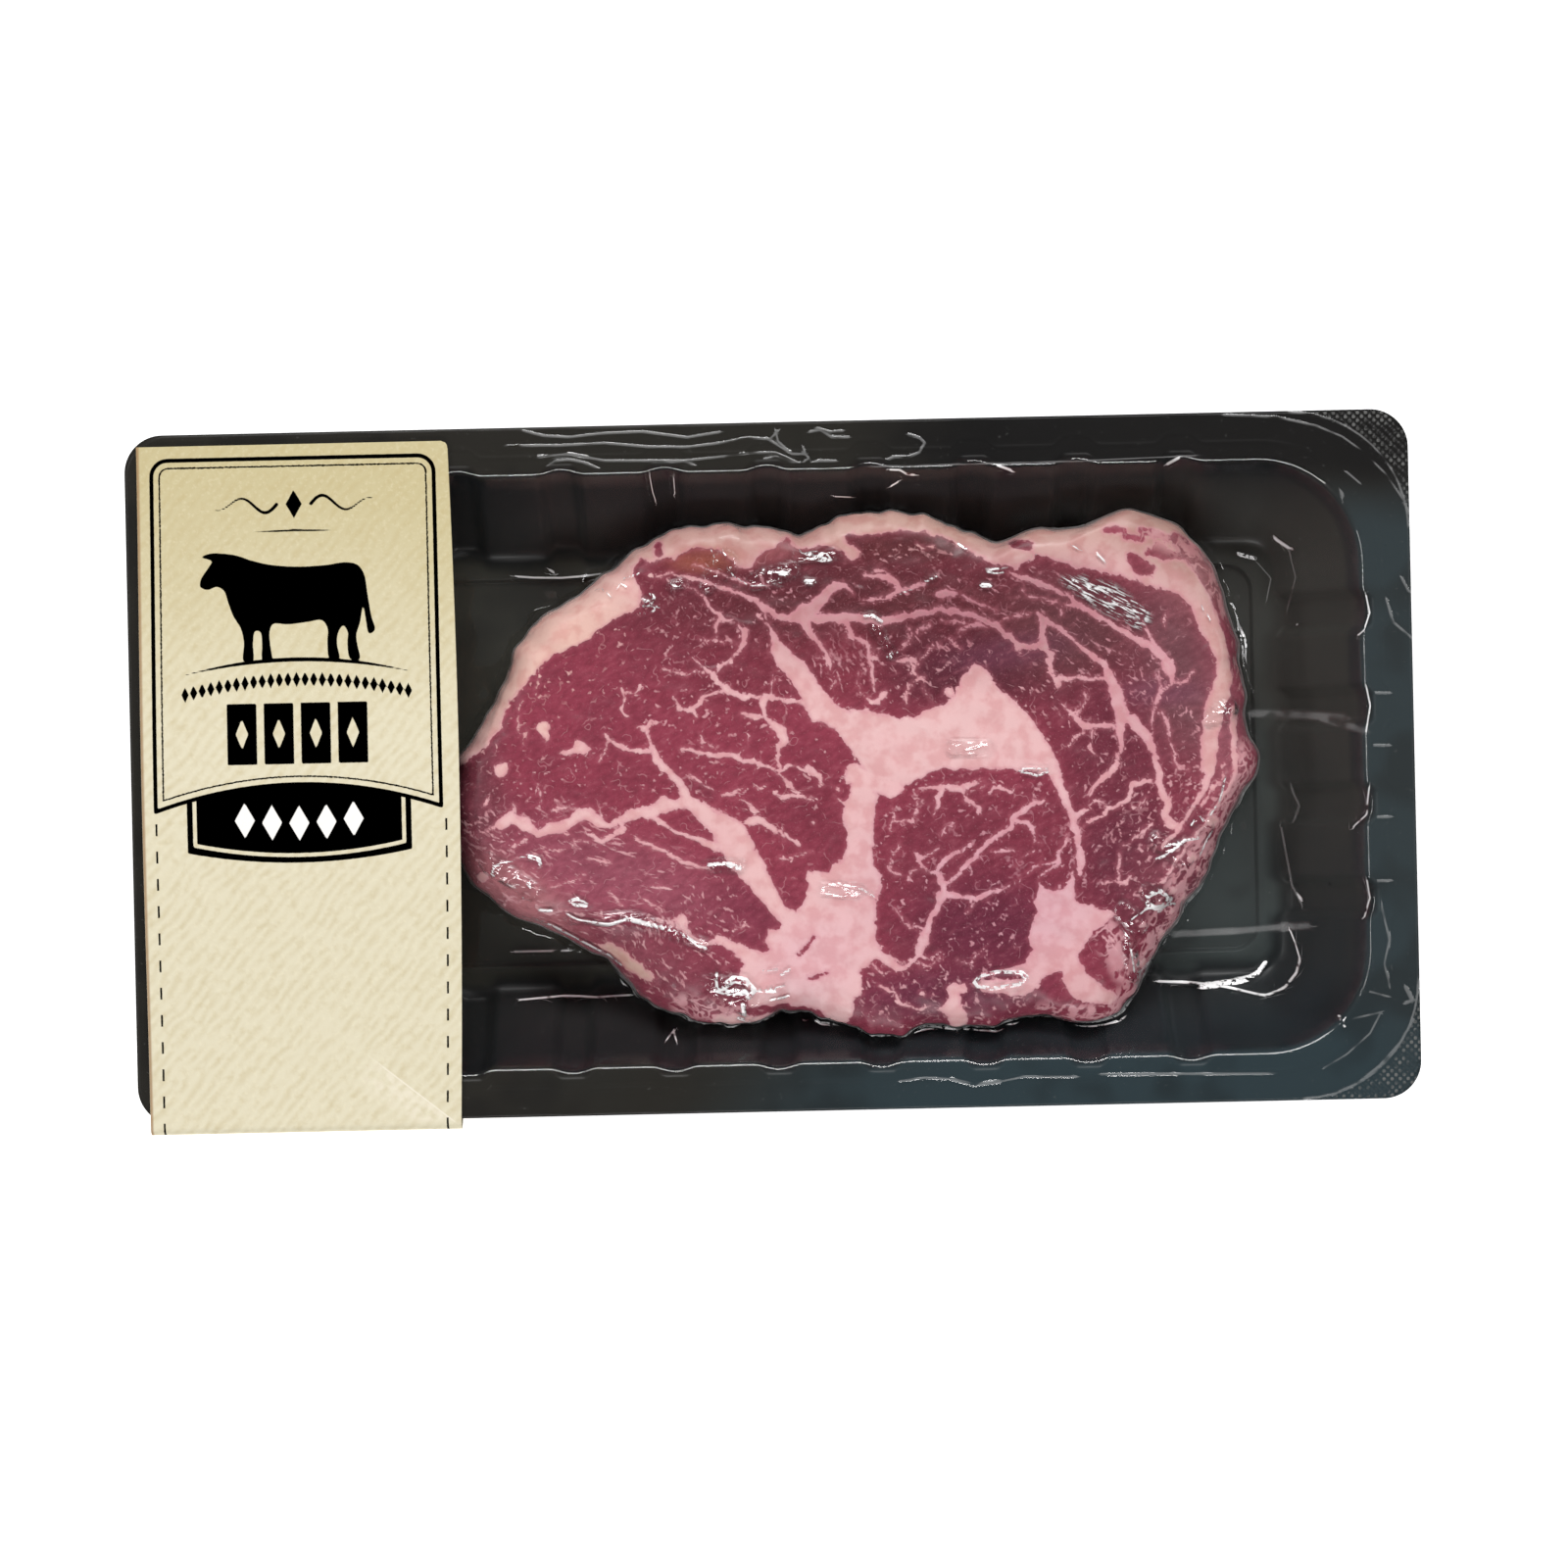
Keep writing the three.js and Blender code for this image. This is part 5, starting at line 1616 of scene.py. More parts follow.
@dataclass(frozen=True)
class FilmFinish:
    """Clear film: it lets the colours through and adds the gloss of its two faces.

    The gloss is a share seen head on, which grows with the fifth power of the slant. Painted highlights,
    the white glints, lines and streaks marked on the sheets, raise that share and the roughness, so that
    they show pale from every side.
    """

    pressed: float = 0.042
    on_wall: float = 0.006
    clinging: float = 0.022
    crumpled: float = 0.085
    glint: float = 0.85
    faint: float = 0.15
    smooth: float = 0.08
    dull: float = 0.42
    painted_highlight_roughness: float = 0.65
    wall_dull: float = 0.25
    tight: float = 0.18
    relief: float = 1.7
    streak_turn: float = -27.0

    def build(self) -> bpy.types.Material:
        """Makes the material.

        Returns:
            The material.
        """
        graph = Graph("clear_film")
        crumple, over_meat = graph.mark("crumple"), graph.mark("over_meat")
        taut = graph.noise(9.0, 1.0).between(0.61, 0.69) * over_meat * self.tight
        wrinkles = graph.noise(2.3, 1.0, (2.6, 1.0, 1.0), 16.0)
        dimples = graph.noise(3.2, 0.0)
        relief = wrinkles * (crumple + taut) + dimples * over_meat * 0.25
        normal = graph.bump(relief, self.relief)
        glossy = crumple.most(taut)
        # painted highlights: white glints along drawn lines and thin lines in the well, broken up by noise
        white = (graph.mark("glint") - 1.0).between(-0.06, 0.14) * graph.noise(0.9, 2.0).between(0.34, 0.5)
        white = white.most(self.line(graph, "thin", 0.5) * graph.noise(2.0, 1.0).between(0.2, 0.4))
        # painted highlights: fine white streaks in one patch over the meat
        streaks = graph.noise(0.45, 2.5, (7.0, 1.0, 1.0), self.streak_turn).between(0.46, 0.58)
        white = white.most(streaks * graph.noise(1.5, 1.0).between(0.3, 0.44) * graph.mark("glint_streaked"))
        # painted highlights: faint grey lines on the flange, and painted reflection bands in the well
        faint = self.line(graph, "faint", 0.7) * graph.noise(5.0, 1.0).between(0.15, 0.5)
        dull = (over_meat * (1.0 - glossy) * (self.dull - self.smooth) + self.smooth
                + graph.mark("wall") * self.wall_dull)
        gloss = graph.add("ShaderNodeBsdfPrincipled", None, {
            "Base Color": shade(255, 255, 255), "Metallic": 1.0,
            "Roughness": dull.most(white.most(faint) * self.painted_highlight_roughness), "Normal": normal})
        clear = graph.add("ShaderNodeBsdfTransparent", None, {"Color": (1.0, 1.0, 1.0, 1.0)})
        slant = graph.add("ShaderNodeLayerWeight", None, {"Blend": 0.5, "Normal": normal}, "Facing")
        head_on = (over_meat * (self.clinging - self.pressed) + self.pressed
                   + glossy * over_meat * (self.crumpled - self.clinging)
                   + graph.mark("wall") * (self.on_wall - self.pressed))
        # the painted highlights raise the share that reflects
        head_on = head_on.most(white * self.glint).most(faint * self.faint)
        square = slant * slant
        share = square * square * slant * (1.0 - head_on) + head_on
        return graph.finish(graph.add("ShaderNodeMixShader", None, {0: share, 1: clear, 2: gloss}))

    @staticmethod
    def line(graph: Graph, name: str, soft: float) -> Wire:
        """Where a line is: near it, and within a half width on either side, with a soft edge."""
        return (1.0 - abs(graph.mark(name + "_side"))).between(-soft, soft) * graph.mark(name + "_near")


@dataclass
class SkinFilm:
    """The film in three sheets that meet: over the steak, down over foot and wall, and on the flange."""

    form: SteakForm
    columns: int = 330
    rows: int = 212
    cling: float = 0.28
    tent: float = 0.8
    foot_round: float = 3.6
    steepness: float = 0.62
    flange_steepness: float = 0.36
    peel_radius: float = 25.0
    ring_counts: tuple[int, ...] = (7, 9, 30, 6, 12, 12)
    flange_rings: int = 40
    bridge: tuple[float, float, float] = (1.0, 0.5, 4.9)
    pad_step: float = 6.5
    wide_fold: float = 0.8
    fold_reach: float = 0.2
    pucker: tuple[float, float, int] = (0.3, 2.6, 42)
    slackness: tuple[float, float, int] = (0.07, 9.0, 43)
    hems: int = 90
    hem_sector: tuple[float, float] = (-2.6, 0.9)
    hem_seed: int = 45
    search_reach: float = 200.0
    halvings: int = 30

    def fold_height(self, gap: Array, half_width: Array) -> Array:
        """Height of a fold's section: a squared cosine whose height is in proportion to its width."""
        share = np.clip(gap / half_width, 0.0, 1.0)
        return self.steepness * half_width * np.cos(share * QUARTER_TURN) ** 2

    def lifted(self, spots: Array, lines: Sequence[Array]) -> Array:
        """How high the folds along drawn lines lift the film at each spot."""
        return line_field(spots, lines, self.fold_height, self.fold_reach, 0.0)

    def peel_arcs(self) -> list[Array]:
        """The folds where the sealed film ends, on an arc across each right corner.

        Returns:
            The arcs' points and widths.
        """
        middle = self.form.tray.half - self.peel_radius
        turn = np.linspace(0.0, QUARTER_TURN, 13)
        inset, width = 0.4, 0.5
        x, y = polar(middle, turn, np.full(len(turn), self.peel_radius - inset)).T
        return [np.stack([x, side * y, np.full(len(turn), width)], axis=1) for side in (1.0, -1.0)]

    def hem_glint_lines(self) -> list[Array]:
        """Short painted glint lines beside the steak's outline, each over a random stretch of it and thin
        at its ends.

        Returns:
            The lines' points and widths.
        """
        rng = np.random.default_rng(self.hem_seed)
        share = np.linspace(0.0, 1.0, 9)
        lines = []
        for start in rng.uniform(*self.hem_sector, self.hems):
            angle = start + rng.uniform(0.02, 0.13) * share
            beyond = 0.15 + rng.gamma(1.3, 0.4) + 0.12 * np.sin(rng.uniform(3.0, 9.0) * share + start)
            spots = polar(self.form.centre, angle, self.form.radius(angle) + beyond)
            lines.append(np.column_stack([spots, 0.12 + 0.32 * np.sin(math.pi * share)]))
        return lines

    def reach_of(self, angle: Array, gap: Callable[[Array], Array]) -> Array:
        """The distance in each direction where a gap turns from inside to outside, found by halving.

        Args:
            angle: Directions from the steak's middle.
            gap: Distance from an outline, below zero inside it.

        Returns:
            The distances.
        """
        near, far = np.zeros(len(angle)), np.full(len(angle), self.search_reach)
        for _ in range(self.halvings):
            middle = (near + far) / 2.0
            inside = gap(polar(self.form.centre, angle, middle)) < 0.0
            near, far = np.where(inside, middle, near), np.where(inside, far, middle)
        return near

    def bridged(self) -> TrayForm:
        """The tray's form with shallower grooves, because the film doesn't go to their bottoms."""
        depth, floor, ramp = self.bridge
        return replace(self.form.tray, groove_depth=depth, groove_floor=floor, groove_ramp=ramp,
                       pad_step=self.pad_step)

    @staticmethod
    def drawn(spots: Array, lines: Sequence[Array]) -> Array:
        """How deep spots lie in drawn lines, plus one, so that it is 0 well away from them."""
        return depth_in_lines(spots, lines, 1.0) + 1.0

    @staticmethod
    def sided(name: str, spots: Array, lines: Sequence[Array], reach: float) -> dict[str, Array]:
        """The two marks from which the finish draws thin painted highlight lines."""
        side, near = line_sides(spots, lines, reach)
        return {name + "_side": side, name + "_near": near}

    def well_reaches(self, angle: Array, start: Array) -> Array:
        """How far out each ring lies in each direction, from the steak to just past the rim.

        The rings are gathered where the film bends: at the steak's foot, the wall's foot and the rim.
        Between two such places they are evenly spread.

        Args:
            angle: The directions.
            start: Where the film leaves the steak in each.

        Returns:
            Distances as (rings, directions).
        """
        tray = self.bridged()
        rim = self.reach_of(angle, tray.rim_gap)
        foot = self.reach_of(angle, lambda spots: tray.rim_gap(spots) + tray.wall_run)
        knots = [start]
        for wish, least in ((start + 1.2, 1.2), (start + 3.6, 1.2), (foot - 1.4, 0.5), (foot + 1.4, 0.5),
                            (rim - 1.3, 0.5)):
            knots.append(np.maximum(wish, knots[-1] + least))
        knots.append(self.flange_start(rim, knots[-1]))
        table = np.array(knots)
        stops = np.concatenate([k + np.arange(1, count + 1) / count
                                for k, count in enumerate(self.ring_counts)])
        low = np.minimum(stops.astype(int), len(knots) - 2)
        share = (stops - low)[:, None]
        return table[low] * (1.0 - share) + table[low + 1] * share

    @staticmethod
    def flange_start(rim: Array, last: Array) -> Array:
        """Where the sheet over the well ends and the flange's sheet starts."""
        return np.maximum(rim + 1.3, last + 1.6)

    def well_skirt(self, angle: Array, foot: Array) -> Array:
        """The rings from the steak's widest line out to the flange.

        The height is the tray's, with a wider curve at the wall's foot, plus the cling, the folds, and a
        tent that dies away with the distance from the steak and is puckered along it.

        Args:
            angle: The directions of the rings' points.
            foot: The film's points on the steak's widest line.

        Returns:
            Points as (rings, directions, 3).
        """
        form, tray = self.form, self.bridged()
        start = np.linalg.norm(foot[:, :2] - form.centre, axis=1)
        reaches = self.well_reaches(angle, start)
        spots = polar(form.centre, np.broadcast_to(angle, reaches.shape), reaches)
        base = tray.height_at(spots, self.foot_round) + self.cling
        under = tray.height_at(foot[:, :2], self.foot_round) + self.cling
        beyond = reaches - start
        slack = self.tent * (1.0 + 0.3 * ripple(foot[:, :2], 6.0, 41))
        size, wavelength, seed = self.pucker
        pucker = size * ripple(foot[:, :2], wavelength, seed) * np.exp(-beyond / 1.6) * ease(beyond)
        height = base + (foot[:, 2] - under) * np.exp(-beyond / slack) + pucker
        flat = spots.reshape(-1, 2)
        lines = [line for line in read_lines(WELL_FOLDS_AND_GLINTS) if line[0, 2] >= self.wide_fold]
        folds = self.lifted(flat, lines).reshape(height.shape)
        in_well = ease(-tray.rim_gap(spots) / 3.0)
        size, wavelength, seed = self.slackness
        slackness = size * ripple(flat, wavelength, seed).reshape(height.shape) * in_well
        return on_height(spots, height + folds + slackness)

    def flange_grid(self, angle: Array) -> Array:
        """The flange's sheet: close rings, so that its fine folds come out, and twice the directions.

        Args:
            angle: The directions of the rings over the well.

        Returns:
            Points as (rings, directions, 3).
        """
        tray = self.bridged()
        turn = np.unwrap(angle)
        turn = np.append(turn, turn[0] + FULL_TURN)
        fine = np.interp(np.arange(2 * len(angle)) / 2.0, np.arange(len(turn)), turn)
        rim = self.reach_of(fine, tray.rim_gap)
        start = self.flange_start(rim, rim - 1.3)
        edge = self.reach_of(fine, lambda spots: tray.box_gap(spots, tray.half, tray.corner_radius)) - 0.05
        share = np.linspace(0.0, 1.0, self.flange_rings + 1)[:, None]
        reaches = start * (1.0 - share) + edge * share
        spots = polar(self.form.centre, np.broadcast_to(fine, reaches.shape), reaches)
        flat = spots.reshape(-1, 2)
        lines = read_lines(FLANGE_FOLDS_AND_SHEEN) + self.peel_arcs()
        folds = self.lifted(flat, lines) * self.flange_steepness / self.steepness
        return on_height(spots, tray.height_at(spots) + self.cling + folds.reshape(reaches.shape))

    def over_steak(self) -> tuple[Surface, Array, Array]:
        """The steak's dome moved out along its normals.

        Returns:
            The sheet, and its border's directions and points.
        """
        form = self.form
        dome, angle = form.dome(self.columns, self.rows)
        spots = dome.reshape(-1, 3)[:, :2]
        folds = self.lifted(spots, read_lines(GLINTS))
        sag = form.sag(spots)
        edge = border(self.rows + 1, self.columns + 1)
        sag[edge] = 0.0
        lift = (self.cling + folds + sag)[:, None]
        points = dome.reshape(-1, 3) - grid_normals(dome).reshape(-1, 3) * lift
        crumple = depth_in_lines(spots, read_lines(CRUMPLES), 1.0)
        glint_streaked = depth_in_lines(spots, [read_line(GLINT_STREAK_PATCH)], 1.0)
        # painted highlights: white glints along the glint lines, and white streaks in one patch
        marks = {"crumple": ease(crumple / 1.5 + 0.4), "glint": self.drawn(spots, read_lines(GLINTS)),
                 "glint_streaked": ease(glint_streaked / 1.5 + 0.4), "over_meat": np.ones(len(points))}
        faces = [grid_faces(self.rows + 1, self.columns + 1)[:, ::-1]]
        return Surface(points, faces, marks), angle.ravel()[edge], points[edge]

    def build(self) -> list[bpy.types.Object]:
        """Makes the three sheets, each starting where the one before it ends.

        Returns:
            The pieces.
        """
        over, turns, foot = self.over_steak()
        skirt = np.concatenate([foot[None], self.well_skirt(turns, foot)])
        flange = self.flange_grid(turns)
        spots, beside = skirt.reshape(-1, 3)[:, :2], flange.reshape(-1, 3)[:, :2]
        wall = self.form.tray.wall_share(self.bridged().rim_gap(spots), 1.2, 2.0, 2.0)
        folds = read_lines(WELL_FOLDS_AND_GLINTS)
        wide = [line for line in folds if line[0, 2] >= self.wide_fold]
        thin = [line for line in folds if line[0, 2] < self.wide_fold]
        # marks for painted highlights: glints on the wide folds and the hems, thin lines, and faint
        # reflection bands
        marks = {"wall": wall, "glint": self.drawn(spots, wide + self.hem_glint_lines()),
                 **self.sided("thin", spots, thin, 1.3),
                 **self.sided("faint", spots, read_lines(FAINT_REFLECTIONS), 2.4)}
        well = Surface(skirt.reshape(-1, 3), [grid_faces(*skirt.shape[:2], closed=True)], marks)
        # painted faint highlight lines along the flange's folds and peel arcs
        marks = self.sided("faint", beside, read_lines(FLANGE_FOLDS_AND_SHEEN) + self.peel_arcs(), 0.9)
        around = Surface(flange.reshape(-1, 3), [grid_faces(*flange.shape[:2], closed=True)], marks)
        finish = FilmFinish().build()
        sheets = {"skin_over_steak": over, "skin_well": well, "skin_flange": around}
        return [make_piece(name, sheet, finish, Slot.FILM, "skin_film")
                for name, sheet in sheets.items()]


# The card band


# A steer of plain design, facing left, its outline drawn through these points.
STEER = """
-111.6,46.8 -108.5,45.7 -104.5,44.7 -99,44.2 -93,44.4 -88.6,44.9 -86.2,44.3 -84.9,42.4 -84.2,38 -83.5,33.5
-82.8,30.6 -84,29.8 -84.7,33 -85.2,35.6 -85.9,32.2 -86.7,29.6 -86.5,27.4 -86.1,24.5 -88,24.5 -88.6,27.6
-88.5,30.2 -89.4,31.6 -90.4,30.4 -90.8,28 -90.4,24.5 -92.3,24.5 -92.8,28.2 -92.7,31 -93.8,32.8 -97,32.5
-101,32.1 -104.2,32.2 -104.9,30.4 -104.8,28 -104.6,24.5 -106.4,24.5 -106.5,28 -106.8,30.6 -107.9,30.8
-108.4,28.4 -108.5,24.5 -110.4,24.5 -110.3,28.4 -110.9,31.4 -112.4,34 -113.5,37 -114.3,39.4 -115.8,40.3
-117.8,39.7 -119.3,40.4 -119.1,42 -117.5,44.4 -116.8,45.7 -118.9,46.6 -117.2,47.3 -114.8,47.3
"""


@dataclass
class CardPrint:
    """The print on the band: ruled frame, steer, rows of plain shapes, banner and stitch lines."""

    middle: float = -99.4
    frame_top: float = 67.05
    frame_sides: tuple[float, float] = (-129.4, -69.6)
    frame_corner: float = 3.4
    frame_low: tuple[float, float] = (-1.45, -6.6)
    banner_sides: tuple[float, float] = (-122.9, -75.9)
    banner_low: tuple[float, float] = (-17.9, -15.5)
    lining_inset: float = 1.6
    lining_line: float = 0.4
    lining_raise: float = 6.0
    small_pitch: float = 1.8
    small_line: tuple[float, float, float] = (20.5, 17.9, 22.5)
    small_half: tuple[float, float] = (0.78, 1.65)
    block_pitch: float = 7.75
    block_height: float = 9.2
    block_half: tuple[float, float] = (3.1, 6.4)
    block_cut: tuple[float, float] = (1.3, 3.2)
    flourish_height: float = 57.4
    flourish_gem: tuple[float, float] = (1.7, 3.0)
    ground_line: tuple[float, float, float] = (24.7, 21.7, 24.0)
    gem_pitch: float = 5.7
    gem_line: tuple[float, float, float] = (-9.6, -8.8, 12.0)
    gem_half: tuple[float, float] = (2.1, 3.7)
    stitch_insets: tuple[float, float] = (2.95, 2.9)
    crease: tuple[tuple[float, float], tuple[float, float]] = ((-87.6, -57.7), (-70.9, -71.1))
    reach: float = 3.0

    def bow(self, x: Array, middle_y: float, end_y: float, half: float) -> Array:
        """A bowed line's height at x: one height in the middle, another a half width away."""
        return middle_y + (end_y - middle_y) * ((x - self.middle) / half) ** 2

    def frame_outline(self) -> Array:
        """The frame's outline: a bowed foot, straight sides and two round corners at the top.

        Returns:
            Its corners in order.
        """
        left, right = self.frame_sides
        x = np.linspace(left, right, 25)
        foot = np.stack([x, self.bow(x, *self.frame_low, (right - left) / 2.0)], axis=1)
        turn = np.linspace(0.0, QUARTER_TURN, 9)
        r = self.frame_corner
        top = self.frame_top - r
        corner = np.stack([right - 0.3 - r + r * np.cos(turn), top + r * np.sin(turn)], axis=1)
        other = np.stack([left + 0.2 + r - r * np.sin(turn), top + r * np.cos(turn)], axis=1)
        return np.concatenate([foot, corner, other])

    def banner_outline(self, inset: float, top: float) -> Array:
        """The banner's outline, bowed above and below.

        Args:
            inset: How far its sides and foot are moved in.
            top: How far its top is raised over the frame's foot.

        Returns:
            Its corners in order.
        """
        left, right = self.banner_sides[0] + inset, self.banner_sides[1] - inset
        x = np.linspace(left, right, 19)
        half = (right - left) / 2.0
        low = self.bow(x, self.banner_low[0] + inset, self.banner_low[1] + inset, half)
        frame_half = (self.frame_sides[1] - self.frame_sides[0]) / 2.0
        high = self.bow(x, *self.frame_low, frame_half) + top
        return np.concatenate([np.stack([x, low], axis=1), np.stack([x, high], axis=1)[::-1]])

    @staticmethod
    def lozenges(spots: Array, middles: Array, half: tuple[float, float]) -> Array:
        """How deep each spot lies in the nearest of a set of lozenges.

        Args:
            spots: Places on the card.
            middles: The lozenges' middles.
            half: Half their width and height.

        Returns:
            The depths, below zero outside.
        """
        out = np.abs(spots[:, None, :] - middles[None]) / np.array(half)
        share = 1.0 - out.sum(axis=-1).min(axis=1)
        return share * half[0] * half[1] / math.hypot(*half)

    def small_row(self, spots: Array) -> Array:
        """The bowed row of small lozenges under the ground line."""
        x = self.middle + self.small_pitch * np.arange(-13, 14)
        return self.lozenges(spots, np.stack([x, self.bow(x, *self.small_line)], axis=1), self.small_half)

    def blocks(self, spots: Array) -> Array:
        """Four bold upright blocks, each with a lozenge cut out of it.

        Args:
            spots: Places on the card.

        Returns:
            How deep each spot lies in them.
        """
        x = self.middle + self.block_pitch * np.arange(-1.5, 2.0)
        middles = np.stack([x, np.full(len(x), self.block_height)], axis=1)
        near = np.abs(spots[:, None, :] - middles[None])
        depth = (np.array(self.block_half) - near).min(axis=-1).max(axis=1)
        return np.minimum(depth, -self.lozenges(spots, middles, self.block_cut))

    def flourish(self, spots: Array) -> Array:
        """Two tapering waves on both sides of a lozenge, over a rule.

        Args:
            spots: Places on the card.

        Returns:
            How deep each spot lies in them.
        """
        way = np.linspace(0.0, 1.0, 25)
        lines = []
        for side in (-1.0, 1.0):
            x = self.middle + side * (3.6 + 13.0 * way)
            y = self.flourish_height + side * 1.9 * np.sin(way * 2.6 * math.pi) * (1.0 - 0.5 * way)
            lines.append(np.stack([x, y, 0.75 - 0.5 * way], axis=1))
        lines.append(np.array([[self.middle - 9.0, 51.6, 0.2], [self.middle, 51.9, 0.5],
                               [self.middle + 9.0, 51.6, 0.2]]))
        wave = depth_in_lines(spots, lines, self.reach)
        middle = np.array([[self.middle, self.flourish_height]])
        return np.maximum(wave, self.lozenges(spots, middle, self.flourish_gem))

    def ground(self, spots: Array) -> Array:
        """The line that the steer stands on, thick in the middle and thin at its ends.

        Args:
            spots: Places on the card.

        Returns:
            How deep each spot lies in it.
        """
        half = self.ground_line[2]
        x = np.linspace(self.middle - half, self.middle + half, 31)
        width = 0.12 + 0.75 * (1.0 - ((x - self.middle) / half) ** 2)
        line = np.stack([x, self.bow(x, *self.ground_line), width], axis=1)
        return depth_in_lines(spots, [line], self.reach)

    def marks(self, spots: Array, left: Array, right: Array) -> dict[str, Array]:
        """The print as depths, in millimetres, at each spot of the card.

        Args:
            spots: Places on the card.
            left: The card's left edge at each.
            right: The card's right edge at each.

        Returns:
            Depths in black and in white shapes, distances from the frame, the stitch lines and the left
            edge, and where the crease is.
        """
        banner = area_depth(spots, self.banner_outline(0.0, 0.0), self.reach)
        lining = area_depth(spots, self.banner_outline(self.lining_inset, self.lining_raise), self.reach)
        banner = np.minimum(banner, np.abs(lining) - self.lining_line)
        steer = area_depth(spots, closed_curve(read_lines(STEER)[0], 5), self.reach)
        shapes = [banner, steer, self.small_row(spots), self.blocks(spots), self.flourish(spots),
                  self.ground(spots)]
        x = self.middle + self.gem_pitch * np.arange(-2, 3)
        row = np.stack([x, self.bow(x, *self.gem_line)], axis=1)
        gems = self.lozenges(spots, row, self.gem_half)
        from_left, from_right = spots[:, 0] - left, spots[:, 0] - right
        stitch = np.where(spots[:, 0] < self.middle, from_left - self.stitch_insets[0],
                          from_right + self.stitch_insets[1])
        return {
            "ink": np.max(shapes, axis=0), "gems": gems,
            "frame": area_depth(spots, self.frame_outline(), self.reach),
            "stitch": stitch, "left_edge": from_left, **self.crease_marks(spots),
        }

    def crease_marks(self, spots: Array) -> dict[str, Array]:
        """The two marks of the crease across the near right corner.

        Args:
            spots: Places on the card.

        Returns:
            Distance below the crease, and how surely a spot lies along it.
        """
        start, end = (np.array(point) for point in self.crease)
        way = (end - start) / np.linalg.norm(end - start)
        arm = spots - start
        below = arm @ np.array([way[1], -way[0]])
        along = arm @ way
        return {"crease": below, "creased": ease(along / 8.0) * ease((spots[:, 1] + 74.0) / 2.0)}


@dataclass(frozen=True)
class CardFinish:
    """Ribbed cream card, printed where the mesh is marked. The printed face also carries painted shade
    along its left edge, and a pale crease that is partly wear and partly a painted highlight.
    """

    printed: bool
    cream: tuple[float, ...] = shade(197, 185, 145)
    pale: tuple[float, ...] = shade(220, 212, 186)
    crease_highlight_and_wear: tuple[float, ...] = shade(242, 234, 218)
    brown: tuple[float, ...] = shade(150, 112, 78)
    ink: tuple[float, ...] = shade(0, 0, 0)
    white: tuple[float, ...] = shade(246, 243, 238)
    groove: tuple[float, ...] = shade(186, 168, 122)
    fibre: tuple[float, ...] = shade(244, 236, 208)
    relief: float = 0.09
    soft: float = 0.07
    rib_pitch: float = 2.2
    rib_turn: float = 49.0
    stitch_pitch: float = 5.72

    def paper(self, graph: Graph) -> tuple[Wire, Wire]:
        """The bare card: slanting ribs broken up by noise, over fine fibres.

        Args:
            graph: The material's nodes.

        Returns:
            Its colour and its relief.
        """
        x, y = graph.axis("X"), graph.axis("Y")
        turn = math.radians(self.rib_turn)
        across = x * math.sin(turn) - y * math.cos(turn) + graph.noise(9.0, 2.0) * 4.0
        rib = (across * (FULL_TURN / self.rib_pitch)).sine() * 0.5 + 0.5
        rib = rib * graph.noise(3.0, 2.0).between(0.2, 0.7)
        fibre = graph.noise(0.8, 3.0)
        nearer = (y * -1.0 + graph.noise(30.0, 1.0) * 24.0).between(-55.0, 14.0)
        colour = graph.blend(rib * 0.3, graph.blend(nearer, self.cream, self.pale), self.groove)
        colour = graph.blend(graph.noise(2.0, 3.0).between(0.5, 0.75) * 0.22, colour, self.groove)
        colour = graph.blend(fibre.between(0.5, 0.72) * 0.14, colour, self.fibre)
        return colour, rib * 0.6 + fibre * 0.4

    def build(self) -> bpy.types.Material:
        """Makes the material.

        Returns:
            The material.
        """
        graph = Graph("printed_card" if self.printed else "plain_card")
        colour, relief = self.paper(graph)
        if self.printed:
            wear = (graph.noise(0.7, 2.0) - 0.5) * 0.1
            frame_gap = graph.mark("frame")
            rule = 0.43 - abs(frame_gap)
            thin = (0.17 - abs(frame_gap - 1.65)) + (graph.noise(0.45, 1.0) - 0.5) * 0.3
            along = (graph.axis("Y") * -1.0 - 9.2) / self.stitch_pitch
            dash = (0.22 - abs(along.fraction() - 0.22)) * self.stitch_pitch
            below = along.between(-0.02, 0.0)
            stitch = (0.21 - abs(graph.mark("stitch"))).least(dash) * below - (1.0 - below)
            ink = graph.mark("ink").most(rule).most(thin).most(stitch) + wear
            # the crease: a pale line and a pale patch below it, partly wear and partly a painted highlight
            crease = graph.mark("crease")
            fold = (0.16 - abs(crease)).between(-0.16, 0.16) * 0.7
            below_fold = crease.between(-0.1, 0.1) * (1.0 - crease.between(2.0, 9.0))
            crease_sheen_and_wear = fold.most(below_fold * graph.noise(2.0, 2.0).between(0.3, 0.7) * 0.5)
            colour = graph.blend(crease_sheen_and_wear * graph.mark("creased"), colour, self.crease_highlight_and_wear)
            # painted shade along the left edge, brown like the card's cut edge
            edge = graph.mark("left_edge").between(0.3, 0.8)
            colour = graph.blend((1.0 - edge) * 0.75, colour, self.brown)
            colour = graph.blend(ink.between(-self.soft, self.soft), colour, self.ink)
            colour = graph.blend(graph.mark("gems").between(-self.soft, self.soft), colour, self.white)
        shader = graph.add("ShaderNodeBsdfPrincipled", None, {
            "Base Color": colour, "Roughness": 0.7, "Normal": graph.bump(relief, self.relief),
            "Specular IOR Level": 0.0})
        return graph.finish(shader)


